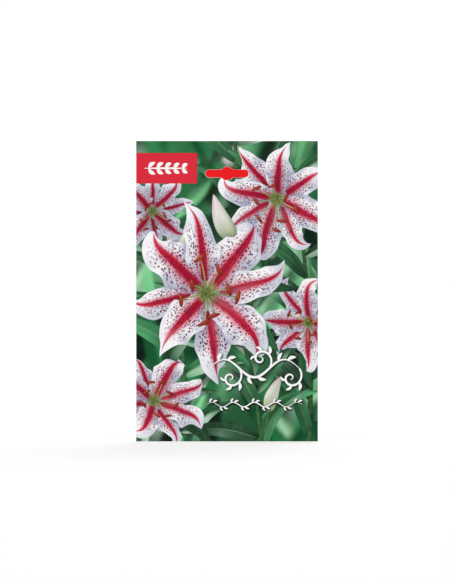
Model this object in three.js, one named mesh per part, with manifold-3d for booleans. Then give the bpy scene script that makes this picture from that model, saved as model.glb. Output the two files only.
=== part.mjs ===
// A picture packet of the kind that flower bulbs are sold in, holding one lily bulb.
//
// A printed board card stands upright. Near its top a euro hanging slot is die-cut through the board, and the
// slot's knock-out is still in place. A clear film pouch with round air vents is glued to the back of the card.
// It holds the bulb, bedded in moist peat, and its flat bottom keeps the packet standing.
//
// Units are millimetres. +Z is up, the printed face looks along -Y, and the origin is on the surface that the
// packet stands on, under the middle of its depth.
import * as THREE from "three";
import { mergeVertices } from "three/addons/utils/BufferGeometryUtils.js";
import Module from "manifold-3d";

const wasm = await Module();
wasm.setup();

// Driving dimensions.
const CARD = { width: 133, height: 220, thickness: 0.8 };
const SLOT = { width: 32, barHeight: 6, circleRadius: 5.1, fillet: 1.5, belowTop: 23.8 };
const KNOCKOUT_KERF = 0.3; // the cut line round the knock-out
const CLEARANCE = 0.1; // between the card, the glue and the film
const GLUE = { width: 104, height: 8, thickness: 0.3, lower: 14, upper: 134 };
const POUCH = {
  halfWidth: 55, // of the bulging part, between the side seals
  depth: 50,
  standDepth: 0.88, // share of the depth that the flat bottom has
  fullFrom: 28, // between these two heights the film is at its full depth
  fullTo: 42,
  mouth: 132, // height at which the two films meet
  cling: 8, // below the mouth the films already lie on each other for this height
  wall: 0.6,
};
const SEAL = { side: 5.5, top: 10, thickness: 1.2 };
const VENTS = { radius: 2.5, rows: [[68, 3], [90, 2], [112, 3]], pitch: 34 };
const PEAT = { top: 46, heap: 9, gap: 0.5, thinnest: 1, behindBulb: 1.2 };
const BULB = {
  radius: 21.5, // of the globe, before the outer scales' own thickness
  height: 41,
  scales: 34,
  scaleHalfWidth: 11.5,
  scaleHalfThickness: 1.25,
  roots: 12,
  rootRadius: 1.1,
  rootReach: 12, // how far the trimmed roots reach below the basal plate
  seat: 16.5, // height of the basal plate over the ground
  lean: 8, // degrees
};
const BASAL_PLATE = { radius: 7.5, halfHeight: 2 };
const HOLLOW = { girth: 2.6, over: 1.9, under: 2.2, rootRadius: 15.5, rootRoom: 6 };
const GOLDEN_ANGLE = Math.PI * (3 - Math.sqrt(5));
const PILLOW_COLUMNS = 20; // facets across the film and across the peat behind it, in the same places

// Planes that follow from the sizes above, counted along +Y from the printed face.
const gluePlane = CARD.thickness + CLEARANCE;
const filmPlane = gluePlane + GLUE.thickness + CLEARANCE;
const packetDepth = filmPlane + POUCH.depth;
const slotCentre = CARD.height - SLOT.belowTop;

const finishes = {
  print: { color: 0x3f7a55, roughness: 0.35 },
  red: { color: 0xec1c22, roughness: 0.4 },
  glue: { color: 0xf2efe2, roughness: 0.6 },
  film: { color: 0xeef3f4, roughness: 0.12, transparent: true, opacity: 0.3 },
  bulb: { color: 0xe9dcb6, roughness: 0.55 },
  peat: { color: 0x3b2a1d, roughness: 0.95 },
};

// ---- solids ----

/** The geometry as one closed body: only positions, with shared vertices merged. */
function closed(geometry) {
  const bare = geometry.index ? geometry.clone() : geometry;
  bare.deleteAttribute("normal");
  bare.deleteAttribute("uv");
  return mergeVertices(bare, 1e-4);
}

/** Moves each vertex of a closed geometry to where place(vertex) puts it. */
function shaped(geometry, place) {
  const body = closed(geometry);
  const position = body.getAttribute("position");
  const vertex = new THREE.Vector3();
  for (let i = 0; i < position.count; i++) {
    place(vertex.fromBufferAttribute(position, i));
    position.setXYZ(i, vertex.x, vertex.y, vertex.z);
  }
  return body;
}

function solidOf(geometry) {
  const body = closed(geometry);
  const vertProperties = new Float32Array(body.getAttribute("position").array);
  const triVerts = new Uint32Array(body.index.array);
  return new wasm.Manifold(new wasm.Mesh({ numProp: 3, vertProperties, triVerts }));
}

function geometryOf(solid) {
  const { vertProperties, triVerts } = solid.getMesh();
  return new THREE.BufferGeometry()
    .setAttribute("position", new THREE.BufferAttribute(new Float32Array(vertProperties), 3))
    .setIndex(new THREE.BufferAttribute(new Uint32Array(triVerts), 1));
}

/** The pieces as one body. Hollows that the join seals are filled, and loose scraps are dropped. */
function fused(geometries) {
  const whole = geometries.map(solidOf).reduce((body, piece) => body.add(piece));
  return whole.decompose().reduce((largest, body) => (body.volume() > largest.volume() ? body : largest));
}

function mesh(name, geometry, finish) {
  const shown = geometry.index ? geometry.toNonIndexed() : geometry;
  shown.computeVertexNormals();
  const material = new THREE.MeshStandardMaterial({ metalness: 0, ...finishes[finish] });
  const made = new THREE.Mesh(shown, material);
  made.name = name;
  return made;
}

// ---- the card and its hanging slot ----

/** The euro slot round its middle, pulled in by inset: a bar with round ends, and a circle in its middle. */
function slotOutline(inset, PathClass) {
  const half = SLOT.barHeight / 2 - inset;
  const end = SLOT.width / 2 - SLOT.barHeight / 2;
  const circle = SLOT.circleRadius - inset;
  const fillet = SLOT.fillet + inset;
  const filletX = Math.sqrt((circle + fillet) ** 2 - (half + fillet) ** 2);
  const lean = Math.atan2(half + fillet, filletX);
  const outline = new PathClass();
  outline.absarc(end, 0, half, -Math.PI / 2, Math.PI / 2, false);
  outline.absarc(filletX, half + fillet, fillet, -Math.PI / 2, lean - Math.PI, true);
  outline.absarc(0, 0, circle, lean, Math.PI - lean, false);
  outline.absarc(-filletX, half + fillet, fillet, -lean, -Math.PI / 2, true);
  outline.absarc(-end, 0, half, Math.PI / 2, (3 * Math.PI) / 2, false);
  outline.absarc(-filletX, -half - fillet, fillet, Math.PI / 2, lean, true);
  outline.absarc(0, 0, circle, lean - Math.PI, -lean, false);
  outline.absarc(filletX, -half - fillet, fillet, Math.PI - lean, Math.PI / 2, true);
  return outline;
}

/** A flat board of this outline, standing upright with its printed face at y = 0. */
function board(outline) {
  const settings = { depth: CARD.thickness, bevelEnabled: false, curveSegments: 5 };
  return new THREE.ExtrudeGeometry(outline, settings).rotateX(Math.PI / 2).translate(0, CARD.thickness, 0);
}

function pictureCard() {
  const half = CARD.width / 2;
  const outline = new THREE.Shape();
  outline.moveTo(-half, -slotCentre);
  outline.lineTo(half, -slotCentre);
  outline.lineTo(half, SLOT.belowTop);
  outline.lineTo(-half, SLOT.belowTop);
  outline.closePath();
  outline.holes.push(slotOutline(0, THREE.Path));
  return board(outline).translate(0, 0, slotCentre);
}

function slotKnockout() {
  return board(slotOutline(KNOCKOUT_KERF, THREE.Shape)).translate(0, 0, slotCentre);
}

function glueStrip(height) {
  return new THREE.BoxGeometry(GLUE.width, GLUE.thickness, GLUE.height)
    .translate(0, gluePlane + GLUE.thickness / 2, height);
}

// ---- the film pouch ----

/** How far the back film stands from the front one at this place, in millimetres. */
function filmDepth(x, z) {
  const across = Math.pow(Math.max(0, 1 - Math.abs(x / POUCH.halfWidth) ** 2.6), 0.62);
  const below = THREE.MathUtils.smoothstep(z, 0, POUCH.fullFrom);
  const above = Math.pow(THREE.MathUtils.clamp((z - POUCH.fullTo) / (POUCH.mouth - POUCH.fullTo), 0, 1), 0.85);
  const share = z < POUCH.fullTo
    ? THREE.MathUtils.lerp(POUCH.standDepth, 1, below)
    : (1 + Math.cos(Math.PI * above)) / 2;
  return POUCH.depth * across * share;
}

/** The space between the two films from bottom to top, pulled in by inset from both films. */
function pillow(inset, bottom, topAt, thinnest, layers, rows) {
  const half = POUCH.halfWidth - inset;
  return shaped(new THREE.BoxGeometry(2, 1, 1, PILLOW_COLUMNS, layers, rows), (v) => {
    const x = half * Math.sin((v.x * Math.PI) / 2);
    const share = v.z + 0.5;
    const middleDepth = filmDepth(x, bottom) * (v.y + 0.5);
    const z = THREE.MathUtils.lerp(bottom, topAt(x, middleDepth), share);
    const depth = Math.max(filmDepth(x, z) - 2 * inset, thinnest);
    v.set(x, filmPlane + inset + depth * (v.y + 0.5), z);
  });
}

function filmPouch() {
  const { wall, mouth, cling } = POUCH;
  const skin = solidOf(pillow(0, 0, () => mouth, SEAL.thickness, 2, 14));
  const room = solidOf(pillow(wall, wall, () => mouth - cling, 0.4, 2, 14));
  const sealWidth = 2 * (POUCH.halfWidth + SEAL.side);
  const sealHeight = mouth + SEAL.top;
  const seal = new THREE.BoxGeometry(sealWidth, SEAL.thickness, sealHeight)
    .translate(0, filmPlane + SEAL.thickness / 2, sealHeight / 2);
  let pouch = skin.add(solidOf(seal)).subtract(room);
  for (const [z, count] of VENTS.rows) {
    for (let i = 0; i < count; i++) {
      const x = (i - (count - 1) / 2) * VENTS.pitch;
      const punch = new THREE.CylinderGeometry(VENTS.radius, VENTS.radius, POUCH.depth, 12)
        .translate(x, filmPlane + SEAL.thickness + POUCH.depth / 2, z);
      pouch = pouch.subtract(solidOf(punch));
    }
  }
  return geometryOf(pouch);
}

// ---- the bulb ----

/** A point on the bulb's globe: share runs from the basal plate (0) to the nose (1), size scales the girth. */
function globe(share, size) {
  const turn = Math.PI * share;
  const belly = Math.pow(Math.sin(turn), 0.8) * Math.pow(1 + 0.3 * Math.cos(turn), 0.7);
  return { radius: BULB.radius * size * belly, height: (BULB.height * (1 - Math.cos(turn))) / 2 };
}

/** One fleshy scale. rank runs from 0, the outermost and shortest, to 1, the last one round the nose. */
function bulbScale(rank, azimuth) {
  const tip = THREE.MathUtils.lerp(0.6, 0.97, Math.pow(rank, 0.8));
  const size = THREE.MathUtils.lerp(1, 0.9, rank);
  const halfWidth = THREE.MathUtils.lerp(BULB.scaleHalfWidth, 0.5 * BULB.scaleHalfWidth, rank);
  const flare = THREE.MathUtils.lerp(1.6, 0.5, rank);
  return shaped(new THREE.SphereGeometry(1, 6, 8), (v) => {
    const girth = Math.sqrt(Math.max(0, 1 - v.y * v.y));
    const across = girth > 1e-6 ? v.x / girth : 0;
    const through = girth > 1e-6 ? v.z / girth : 0;
    const along = (v.y + 1) / 2;
    const blade = Math.pow(Math.sin(Math.PI * Math.pow(along, 0.8)), 0.75);
    const at = globe(THREE.MathUtils.lerp(0.07, tip, along), size);
    const lift = flare * along ** 3 - 0.9 * across * across * blade;
    const radius = at.radius + lift + through * BULB.scaleHalfThickness * Math.sqrt(blade);
    const angle = azimuth + (across * halfWidth * blade) / Math.max(at.radius, 4);
    v.set(radius * Math.cos(angle), radius * Math.sin(angle), at.height);
  });
}

/** One trimmed root, from the rim of the basal plate down into the peat. */
function bulbRoot(index) {
  const azimuth = index * GOLDEN_ANGLE;
  const reach = BULB.rootReach * (0.72 + 0.28 * Math.cos(index * 2.4));
  const out = (radius, turn, height) =>
    new THREE.Vector3(radius * Math.cos(azimuth + turn), radius * Math.sin(azimuth + turn), height);
  const path = new THREE.CatmullRomCurve3([
    out(4.5, 0, 0),
    out(7.5, 0.05, -0.3 * reach),
    out(10.5, 0.25, -0.65 * reach),
    out(13.5, 0.3, -reach),
  ]);
  const section = new THREE.Shape().absarc(0, 0, BULB.rootRadius, 0, 2 * Math.PI);
  return new THREE.ExtrudeGeometry(section, { steps: 4, extrudePath: path, curveSegments: 3 });
}

/** A plain body with the globe's outline, size times its girth. heightAt moves each of its levels. */
function plainGlobe(size, columns, rows, heightAt) {
  return shaped(new THREE.SphereGeometry(1, columns, rows), (v) => {
    const at = globe(Math.acos(THREE.MathUtils.clamp(-v.y, -1, 1)) / Math.PI, size);
    const azimuth = Math.atan2(v.z, v.x);
    v.set(at.radius * Math.cos(azimuth), -at.radius * Math.sin(azimuth), heightAt(at.height));
  });
}

/** Everything that is the bulb, standing upright on its basal plate at the origin. */
function lilyBulb() {
  const core = plainGlobe(0.86, 16, 10, (height) => height);
  const { radius, halfHeight } = BASAL_PLATE;
  const plate = new THREE.CylinderGeometry(radius, 0.8 * radius, 2 * halfHeight, 14).rotateX(Math.PI / 2);
  const scales = [];
  for (let i = 0; i < BULB.scales; i++) scales.push(bulbScale(i / (BULB.scales - 1), i * GOLDEN_ANGLE));
  const roots = Array.from({ length: BULB.roots }, (_, i) => bulbRoot(i));
  return geometryOf(fused([core, plate, ...scales, ...roots]));
}

const bulbStand = new THREE.Matrix4()
  .makeRotationX(THREE.MathUtils.degToRad(BULB.lean))
  .setPosition(0, filmPlane + POUCH.depth / 2 + 1.6, BULB.seat);

/** A smooth hollow that the bulb and its roots lie in, a little larger than they are. */
function bulbHollow() {
  const girth = (BULB.radius + HOLLOW.girth) / BULB.radius;
  const stretch = (BULB.height + HOLLOW.under + HOLLOW.over) / BULB.height;
  const round = plainGlobe(girth, 22, 12, (height) => height * stretch - HOLLOW.under);
  const roomHeight = BULB.rootReach + HOLLOW.rootRoom;
  const rootRoom = new THREE.CylinderGeometry(HOLLOW.rootRadius, HOLLOW.rootRadius, roomHeight, 18)
    .rotateX(Math.PI / 2)
    .translate(0, 0, HOLLOW.rootRoom - HOLLOW.under - roomHeight / 2);
  return fused([round, rootRoom]).transform(bulbStand.elements);
}

// ---- the peat ----

/** Height of the peat's loose surface: heaped against both side seals, lower in the middle. */
function peatTop(x, y) {
  const heap = PEAT.heap * Math.pow(Math.abs(x) / POUCH.halfWidth, 1.6);
  const lumps = 1.6 * Math.sin(0.31 * x + 0.8) * Math.cos(0.27 * y) + 1.1 * Math.sin(0.53 * y - 0.2 * x);
  return PEAT.top + heap + lumps;
}

function packingPeat() {
  const inset = POUCH.wall + PEAT.gap;
  const heap = solidOf(pillow(inset, inset, peatTop, PEAT.thinnest, 6, 5));
  // The hollow ends in front of the heap's back, so that peat is left there, and it is open upwards.
  const forward = heap.translate([0, -PEAT.behindBulb, 0]);
  const room = forward.add(forward.translate([0, 0, PEAT.heap]));
  return geometryOf(heap.subtract(bulbHollow().intersect(room)));
}

// ---- the packet ----

const packet = new THREE.Group();
packet.position.y = -packetDepth / 2;
packet.add(mesh("picture_card", pictureCard(), "print"));
packet.add(mesh("slot_knockout", slotKnockout(), "red"));
packet.add(mesh("glue_strip_lower", glueStrip(GLUE.lower), "glue"));
packet.add(mesh("glue_strip_upper", glueStrip(GLUE.upper), "glue"));
packet.add(mesh("film_pouch", filmPouch(), "film"));
packet.add(mesh("packing_peat", packingPeat(), "peat"));
const bulb = mesh("lily_bulb", lilyBulb(), "bulb");
bulb.applyMatrix4(bulbStand);
packet.add(bulb);

export default packet;
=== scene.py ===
"""Dresses the flower bulb packet: its print, board, film pouch, peat and bulb, and the stage it stands on.

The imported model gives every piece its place. Metres, +Z up, the printed face looks along -Y.
"""

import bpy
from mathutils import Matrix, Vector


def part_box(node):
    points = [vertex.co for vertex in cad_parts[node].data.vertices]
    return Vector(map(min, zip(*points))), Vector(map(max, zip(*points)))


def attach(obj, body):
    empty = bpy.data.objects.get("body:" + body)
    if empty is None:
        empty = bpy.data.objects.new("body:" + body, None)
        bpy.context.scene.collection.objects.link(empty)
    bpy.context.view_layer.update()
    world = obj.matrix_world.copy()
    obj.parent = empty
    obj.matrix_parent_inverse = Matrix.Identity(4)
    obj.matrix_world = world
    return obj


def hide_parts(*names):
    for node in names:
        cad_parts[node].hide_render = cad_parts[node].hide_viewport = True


bl_info = {
    "name": "Flower Bulb Packet",
    "version": (1, 0, 0),
    "blender": (4, 5, 0),
    "location": "3D View > Sidebar > Bulb Packet",
    "description": "Makes a picture packet that holds a flower bulb in a clear film pouch",
    "category": "Add Mesh",
}

import random
from collections import namedtuple
from functools import cache
from math import acos, atan, atan2, copysign, cos, exp, hypot, pi, radians, sin, sqrt

import bmesh
import bpy
import numpy as np
from bpy.props import FloatProperty, FloatVectorProperty, IntProperty, PointerProperty
from mathutils import Matrix, Vector, noise
from mathutils.bvhtree import BVHTree

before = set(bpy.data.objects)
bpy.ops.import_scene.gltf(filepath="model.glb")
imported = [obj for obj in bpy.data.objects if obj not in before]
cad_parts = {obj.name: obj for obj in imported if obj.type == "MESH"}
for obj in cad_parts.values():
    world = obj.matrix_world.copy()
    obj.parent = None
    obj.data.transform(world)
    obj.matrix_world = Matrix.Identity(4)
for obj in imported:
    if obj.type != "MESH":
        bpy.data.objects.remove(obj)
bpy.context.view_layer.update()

MM = 0.001
TAU = 2 * pi
GOLDEN_ANGLE = pi * (3 - sqrt(5))

card_low, card_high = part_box("picture_card")
slot_low, slot_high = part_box("slot_knockout")
pouch_low, pouch_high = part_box("film_pouch")

CARD_WIDTH = card_high.x - card_low.x
CARD_HEIGHT = card_high.z - card_low.z
CARD_SIDES = ((0, card_low.x, card_high.x), (2, card_low.z, card_high.z))
SLOT_MIDDLE = (slot_low.z + slot_high.z) / 2
KERF = 0.3 * MM  # the cut line between the slot's edge and its knock-out
SLOT_LENGTH = slot_high.x - slot_low.x + 2 * KERF
SLOT_BAR = 6 * MM
SLOT_CIRCLE = (slot_high.z - slot_low.z) / 2 + KERF
SLOT_FILLET = 1.5 * MM
CUT_LINE = 0.1 * MM  # what is seen of the cut round the knock-out


def paint(red, green, blue):
    """Linear colour of a paint given in the 0 to 255 steps of a colour chart."""
    steps = np.array((red, green, blue)) / 255
    linear = np.where(steps <= 0.04045, steps / 12.92, ((steps + 0.055) / 1.055) ** 2.4)
    return tuple(float(value) for value in linear)


def smooth_step(value, low, high):
    share = min(1.0, max(0.0, (value - low) / (high - low)))
    return share * share * (3 - 2 * share)


def mixed(a, b, share):
    return a + (b - a) * share


# ---- settings ----


def length(name, description, default, **limits):
    return FloatProperty(name=name, description=description, default=default, unit="LENGTH", **limits)


def count(name, description, default, **limits):
    return IntProperty(name=name, description=description, default=default, **{"min": 0, **limits})


def colour(name, description, default):
    return FloatVectorProperty(
        name=name, description=description, default=default, size=3, min=0, max=1, subtype="COLOR")


class CardSettings(bpy.types.PropertyGroup):
    build_up: length("Print build-up", "Depth that the printed layers fill in front of the bare board",
                     0.3 * MM, min=0.05 * MM, max=0.6 * MM)
    ground_cell: length("Ground cell", "Spacing of the cuts that carry the soft background's colours",
                        1.3 * MM, min=0.8 * MM, max=5 * MM)
    label_width: length("Label width", "Width of the red block at the card's left edge", 44.5 * MM)
    label_height: length("Label height", "Height of the red block", 22.3 * MM)
    label_below_top: length("Label drop", "From the card's top edge down to the red block", 8.8 * MM)
    label_red: colour("Label red", "Ink of the block at the upper left", paint(221, 43, 60))
    slot_red: colour("Slot red", "Ink of the hanging slot's knock-out", paint(238, 26, 32))


class PictureSettings(bpy.types.PropertyGroup):
    seed: count("Seed", "Draws another garden behind the blossoms", 7)
    petals: count("Petals", "Petals in each blossom", 8, min=5, max=12)
    petal_white: colour("Petal white", "Ground colour of the petals", paint(253, 252, 255))
    petal_bar: colour("Petal bar", "Colour of the bar along each petal", paint(206, 22, 58))
    leaf_green: colour("Leaf green", "Colour of the leaves near the blossoms", paint(44, 116, 70))


class PouchSettings(bpy.types.PropertyGroup):
    gauge: length("Film gauge", "Thickness of the film", 0.12 * MM, min=0.03 * MM)
    crinkle: length("Crinkle", "Depth of the creases where the film lies on peat", 0.7 * MM, max=0.85 * MM)
    folds: length("Folds", "Depth of the loose folds above the peat", 3.4 * MM)
    film_tint: colour("Weld tint", "Colour of the film along its welds", (0.985, 0.99, 0.995))


class PeatSettings(bpy.types.PropertyGroup):
    grain: length("Grain", "Spacing of the points on the peat's surface", 1.1 * MM, min=0.9 * MM)
    crumbs: count("Crumbs", "Loose crumbs on the peat", 1500)
    fibres: count("Fibres", "Loose plant fibres on the peat", 320)
    seed: count("Seed", "Draws other crumbs and fibres", 11)
    peat_brown: colour("Peat brown", "Colour of the moist peat", paint(66, 45, 31))


class BulbSettings(bpy.types.PropertyGroup):
    scales: count("Scales", "Fleshy scales of the bulb", 34, min=8)
    seed: count("Seed", "Draws other bruises and wrinkles", 4)
    flesh: colour("Flesh", "Colour of the scales", paint(236, 224, 184))
    blush: colour("Blush", "Colour of the scales' tips", paint(168, 92, 104))


class StageSettings(bpy.types.PropertyGroup):
    distance: length("Camera distance", "From the printed face to the camera", 2.6)
    floor_colour: colour("Floor colour", "Colour of the floor and the backdrop", (0.45, 0.45, 0.45))
    key_power: FloatProperty(name="Key light", description="Power of the side lights in watts", default=11)


SETTINGS = {"bulb_packet_card": CardSettings, "bulb_packet_picture": PictureSettings,
            "bulb_packet_pouch": PouchSettings, "bulb_packet_peat": PeatSettings,
            "bulb_packet_bulb": BulbSettings, "bulb_packet_stage": StageSettings}


# ---- materials ----


class Value:
    """A node's output. What is reckoned with it becomes further nodes of its tree."""

    def __init__(self, graph, socket):
        self.graph, self.socket = graph, socket

    def __getitem__(self, output):
        """Another output of the same node."""
        return Value(self.graph, self.socket.node.outputs[output])

    def math(self, operation, other=0.0, clamp=False):
        return self.graph.add("ShaderNodeMath", {0: self, 1: other}, operation=operation, use_clamp=clamp)

    def __add__(self, other):
        return self.math("ADD", other)

    def __sub__(self, other):
        return self.math("SUBTRACT", other)

    def __rsub__(self, other):
        return self.graph.add("ShaderNodeMath", {0: other, 1: self}, operation="SUBTRACT")

    def __mul__(self, other):
        return self.math("MULTIPLY", other)

    def smooth(self, low, high, to_low=0.0, to_high=1.0):
        """Smooth step from low to high."""
        inputs = {"Value": self, "From Min": low, "From Max": high, "To Min": to_low, "To Max": to_high}
        return self.graph.add("ShaderNodeMapRange", inputs, interpolation_type="SMOOTHSTEP")

    def stretched(self, *scale):
        return self.graph.add("ShaderNodeMapping", {"Vector": self, "Scale": scale})

    def noise(self, scale, detail=2.0, roughness=0.5, seed=None):
        inputs = {"Vector": self, "Scale": scale, "Detail": detail, "Roughness": roughness}
        if seed is None:
            return self.graph.add("ShaderNodeTexNoise", inputs)
        return self.graph.add("ShaderNodeTexNoise", {"W": seed, **inputs}, noise_dimensions="4D")

    def cells(self, scale):
        return self.graph.add("ShaderNodeTexVoronoi", {"Vector": self, "Scale": scale}, "Distance")

    def bump(self, strength, distance):
        return self.graph.add("ShaderNodeBump", {"Height": self, "Strength": strength, "Distance": distance})


class Graph:
    """Adds nodes to one node tree. An input takes a value, a number or a colour."""

    def __init__(self, tree):
        self.tree = tree

    def add(self, kind, inputs=(), output=0, **settings):
        node = self.tree.nodes.new(kind)
        for name, value in settings.items():
            setattr(node, name, value)
        for key, value in dict(inputs).items():
            self.feed(node.inputs[key], value)
        return Value(self, node.outputs[output])

    def feed(self, socket, value):
        if isinstance(value, Value):
            self.tree.links.new(value.socket, socket)
        elif socket.type == "RGBA" and len(value) == 3:
            socket.default_value = (*value, 1)
        else:
            socket.default_value = value

    def mix(self, factor, a, b, blend="MIX"):
        inputs = {"Factor": factor, 6: a, 7: b}
        return self.add("ShaderNodeMix", inputs, 2, data_type="RGBA", blend_type=blend)

    def layered(self, ground, *layers):
        """Lays colours over one another, each through its mask."""
        for mask, over in layers:
            ground = self.mix(mask, ground, over)
        return ground

    def ramp(self, factor, stops):
        node = self.tree.nodes.new("ShaderNodeValToRGB")
        self.feed(node.inputs["Fac"], factor)
        elements = node.color_ramp.elements
        for extra in stops[2:]:
            elements.new(extra[0])
        for element, (place, tone) in zip(elements, stops):
            element.position = place
            element.color = (*tone, 1)
        return Value(self, node.outputs[0])

    def curve(self, value, points):
        node = self.tree.nodes.new("ShaderNodeFloatCurve")
        self.feed(node.inputs["Value"], value)
        curve = node.mapping.curves[0]
        curve.points[0].location, curve.points[-1].location = points[0], points[-1]
        for point in points[1:-1]:
            curve.points.new(*point)
        node.mapping.update()
        return Value(self, node.outputs[0])

    def attribute(self, name, output="Fac"):
        return self.add("ShaderNodeAttribute", output=output, attribute_name=name)

    def axis(self, vector, name):
        return self.add("ShaderNodeSeparateXYZ", {0: vector}, name)

    def place(self, output="Object"):
        return self.add("ShaderNodeTexCoord", output=output)


def new_material(name, draw):
    """A material whose shader takes the inputs that draw(graph) gives."""
    made = bpy.data.materials.new(name)
    made.use_nodes = True
    graph = Graph(made.node_tree)
    shader = next(node for node in made.node_tree.nodes if node.type == "BSDF_PRINCIPLED")
    for key, value in draw(graph).items():
        graph.feed(shader.inputs[key], value)
    return made


def material(name):
    """Turns a function that draws a material's nodes into one that gives the material, made once."""
    return lambda draw: cache(lambda: new_material(name, draw))


def node_group(name, inputs, outputs):
    """Turns a function that draws a group's nodes into one that gives the group, made once.

    inputs and outputs map each socket's name to its default, a number or a colour.
    """

    def make(draw):
        group = bpy.data.node_groups.new(name, "ShaderNodeTree")
        for direction, sockets in (("INPUT", inputs), ("OUTPUT", outputs)):
            for key, default in sockets.items():
                is_number = isinstance(default, float)
                kind = "NodeSocketFloat" if is_number else "NodeSocketColor"
                socket = group.interface.new_socket(key, in_out=direction, socket_type=kind)
                socket.default_value = default if is_number else (*default, 1)
        graph = Graph(group)
        out = group.nodes.new("NodeGroupOutput").inputs
        for key, value in draw(graph, graph.add("NodeGroupInput")).items():
            graph.feed(out[key], value)
        return group

    return lambda draw: cache(lambda: make(draw))


@node_group("Lit ink", {"Color": (1, 1, 1), "Shadow Tint": (0.2, 0.3, 0.3), "Contrast": 1.0, "Gleam": 0.3,
                        "Gleam Tint": (0.7, 0.8, 0.8)}, {"Color": (1, 1, 1)})
def lit_ink(graph, given):
    """Node group: ink darkened by the light and shade that are painted into the picture."""
    shade = graph.attribute("shade").math("POWER", given["Contrast"], clamp=True)
    lit = graph.mix(1.0, given["Color"], graph.mix(shade, given["Shadow Tint"], (1, 1, 1)), "MULTIPLY")
    gleam = graph.attribute("gleam").math("MULTIPLY", given["Gleam"], clamp=True)
    return {"Color": graph.mix(gleam, lit, given["Gleam Tint"])}


@node_group("Coated board", {"Roughness": 0.35}, {"Roughness": 0.35, "Height": 0.0})
def coated_board(graph, given):
    """Node group: the faint unevenness of coated packet board, for its roughness and its bump."""
    fibres = graph.place().stretched(1, 1, 0.45).noise(1900, 3, 0.6)
    swells = graph.place().noise(90)
    return {"Roughness": given["Roughness"] + (fibres - 0.5) * 0.16, "Height": fibres * 0.35 + swells}


def printed(graph, ink):
    """The shader's inputs for an ink on coated board, under a thin satin varnish."""
    board = graph.add("ShaderNodeGroup", {"Roughness": 0.34}, "Roughness", node_tree=coated_board())
    return {"Specular IOR Level": 0.06, "Coat Weight": 0.03, "Coat Roughness": 0.22, "Base Color": ink,
            "Roughness": board, "Normal": board["Height"].bump(0.12, 0.05 * MM)}


def lit_print(graph, ink, shadow_tint, light=()):
    """As printed, with the picture's painted light and shade. light sets more of the group's inputs."""
    inputs = {"Color": ink, "Shadow Tint": shadow_tint, **dict(light)}
    return printed(graph, graph.add("ShaderNodeGroup", inputs, node_tree=lit_ink()))


@cache
def plain_ink(name, ink):
    """Material: one ink, very slightly mottled."""

    def draw(graph):
        mottle = graph.place().noise(700).smooth(0.3, 0.7, 0.0, 0.10)
        return printed(graph, graph.mix(mottle, ink, tuple(0.8 * part for part in ink)))

    return new_material(name, draw)


# ---- mesh helpers ----


def meshed(name, bm):
    """A bmesh's mesh data. The bmesh is freed."""
    data = bpy.data.meshes.new(name)
    bm.to_mesh(data)
    bm.free()
    return data


def placed(name, data):
    """A new object of the scene."""
    made = bpy.data.objects.new(name, data)
    bpy.context.scene.collection.objects.link(made)
    return made


def add_piece(name, bm, materials, replaces=(), smooth=False):
    """Makes a piece from a bmesh, gives it its materials and lets it ride on the packet."""
    piece = placed(name, meshed(name, bm))
    if smooth:
        piece.data.shade_smooth()
    for made in materials:
        piece.data.materials.append(made)
    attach(piece, "root")
    if replaces:
        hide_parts(*replaces)
    return piece


def new_mesh():
    bm = bmesh.new()
    bm.loops.layers.uv.new("UVMap")
    return bm


def joined(parts, inks=None):
    """Several bmeshes as one. inks gives each one's place among the piece's materials."""
    whole = bmesh.new()
    for number, part in enumerate(parts):
        if inks:
            for face in part.faces:
                face.material_index = inks[number]
        data = meshed("part", part)
        whole.from_mesh(data)
        bpy.data.meshes.remove(data)
    return whole


def sheet(columns, rows, place, **values):
    """An open sheet: a grid whose points (across, along), both 0 to 1, go to place(across, along).

    values names functions of the same two shares whose results are kept on the points.
    """
    bm = new_mesh()
    bmesh.ops.create_grid(bm, x_segments=columns, y_segments=rows, size=0.5, calc_uvs=True)
    layers = [(bm.verts.layers.float.new(name), value_at) for name, value_at in values.items()]
    for vert in bm.verts:
        shares = (vert.co.x + 0.5, vert.co.y + 0.5)
        vert.co = place(*shares)
        for layer, value_at in layers:
            vert[layer] = value_at(*shares)
    bm.normal_update()
    return bm


def facing_front(bm):
    """Turns a sheet's faces to the printed side."""
    bm.normal_update()
    if sum(face.normal.y * face.calc_area() for face in bm.faces) > 0:
        bmesh.ops.reverse_faces(bm, faces=bm.faces[:])
    return bm


def outwards(bm, merge=None):
    """Merges doubles up to the distance merge and turns a closed mesh's faces outwards."""
    if merge:
        bmesh.ops.remove_doubles(bm, verts=bm.verts[:], dist=merge)
    bmesh.ops.recalc_face_normals(bm, faces=bm.faces[:])
    return bm


def thickened(bm, thickness):
    """Closes an open sheet that faces -Y into a solid, thickness deep, behind its own face."""
    grown = bmesh.ops.extrude_face_region(bm, geom=bm.faces[:])
    front = {item for item in grown["geom"] if isinstance(item, bmesh.types.BMVert)}
    behind = [vert for vert in bm.verts if vert not in front]
    bmesh.ops.translate(bm, verts=behind, vec=(0, thickness, 0))
    return outwards(bm)


def rounded(bm, edges, offset, segments):
    bmesh.ops.bevel(bm, geom=edges, offset=offset, offset_type="OFFSET", segments=segments, profile=0.5,
                    affect="EDGES", material=-1)


def bisected(bm, faces, point, normal):
    """Cuts some of a mesh's faces along a plane, in an order that is the same each time."""
    edges = dict.fromkeys(edge for face in faces for edge in face.edges)
    verts = dict.fromkeys(vert for face in faces for vert in face.verts)
    bmesh.ops.bisect_plane(bm, geom=[*verts, *edges, *faces], plane_co=point, plane_no=normal)


def cropped(bm):
    """Cuts a mesh at the card's edges."""
    for axis, *limits in CARD_SIDES:
        for limit, sign in zip(limits, (-1, 1)):
            point, normal = Vector(), Vector()
            point[axis], normal[axis] = limit, sign
            geom = bm.verts[:] + bm.edges[:] + bm.faces[:]
            bmesh.ops.bisect_plane(bm, geom=geom, plane_co=point, plane_no=normal, clear_outer=True)


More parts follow.
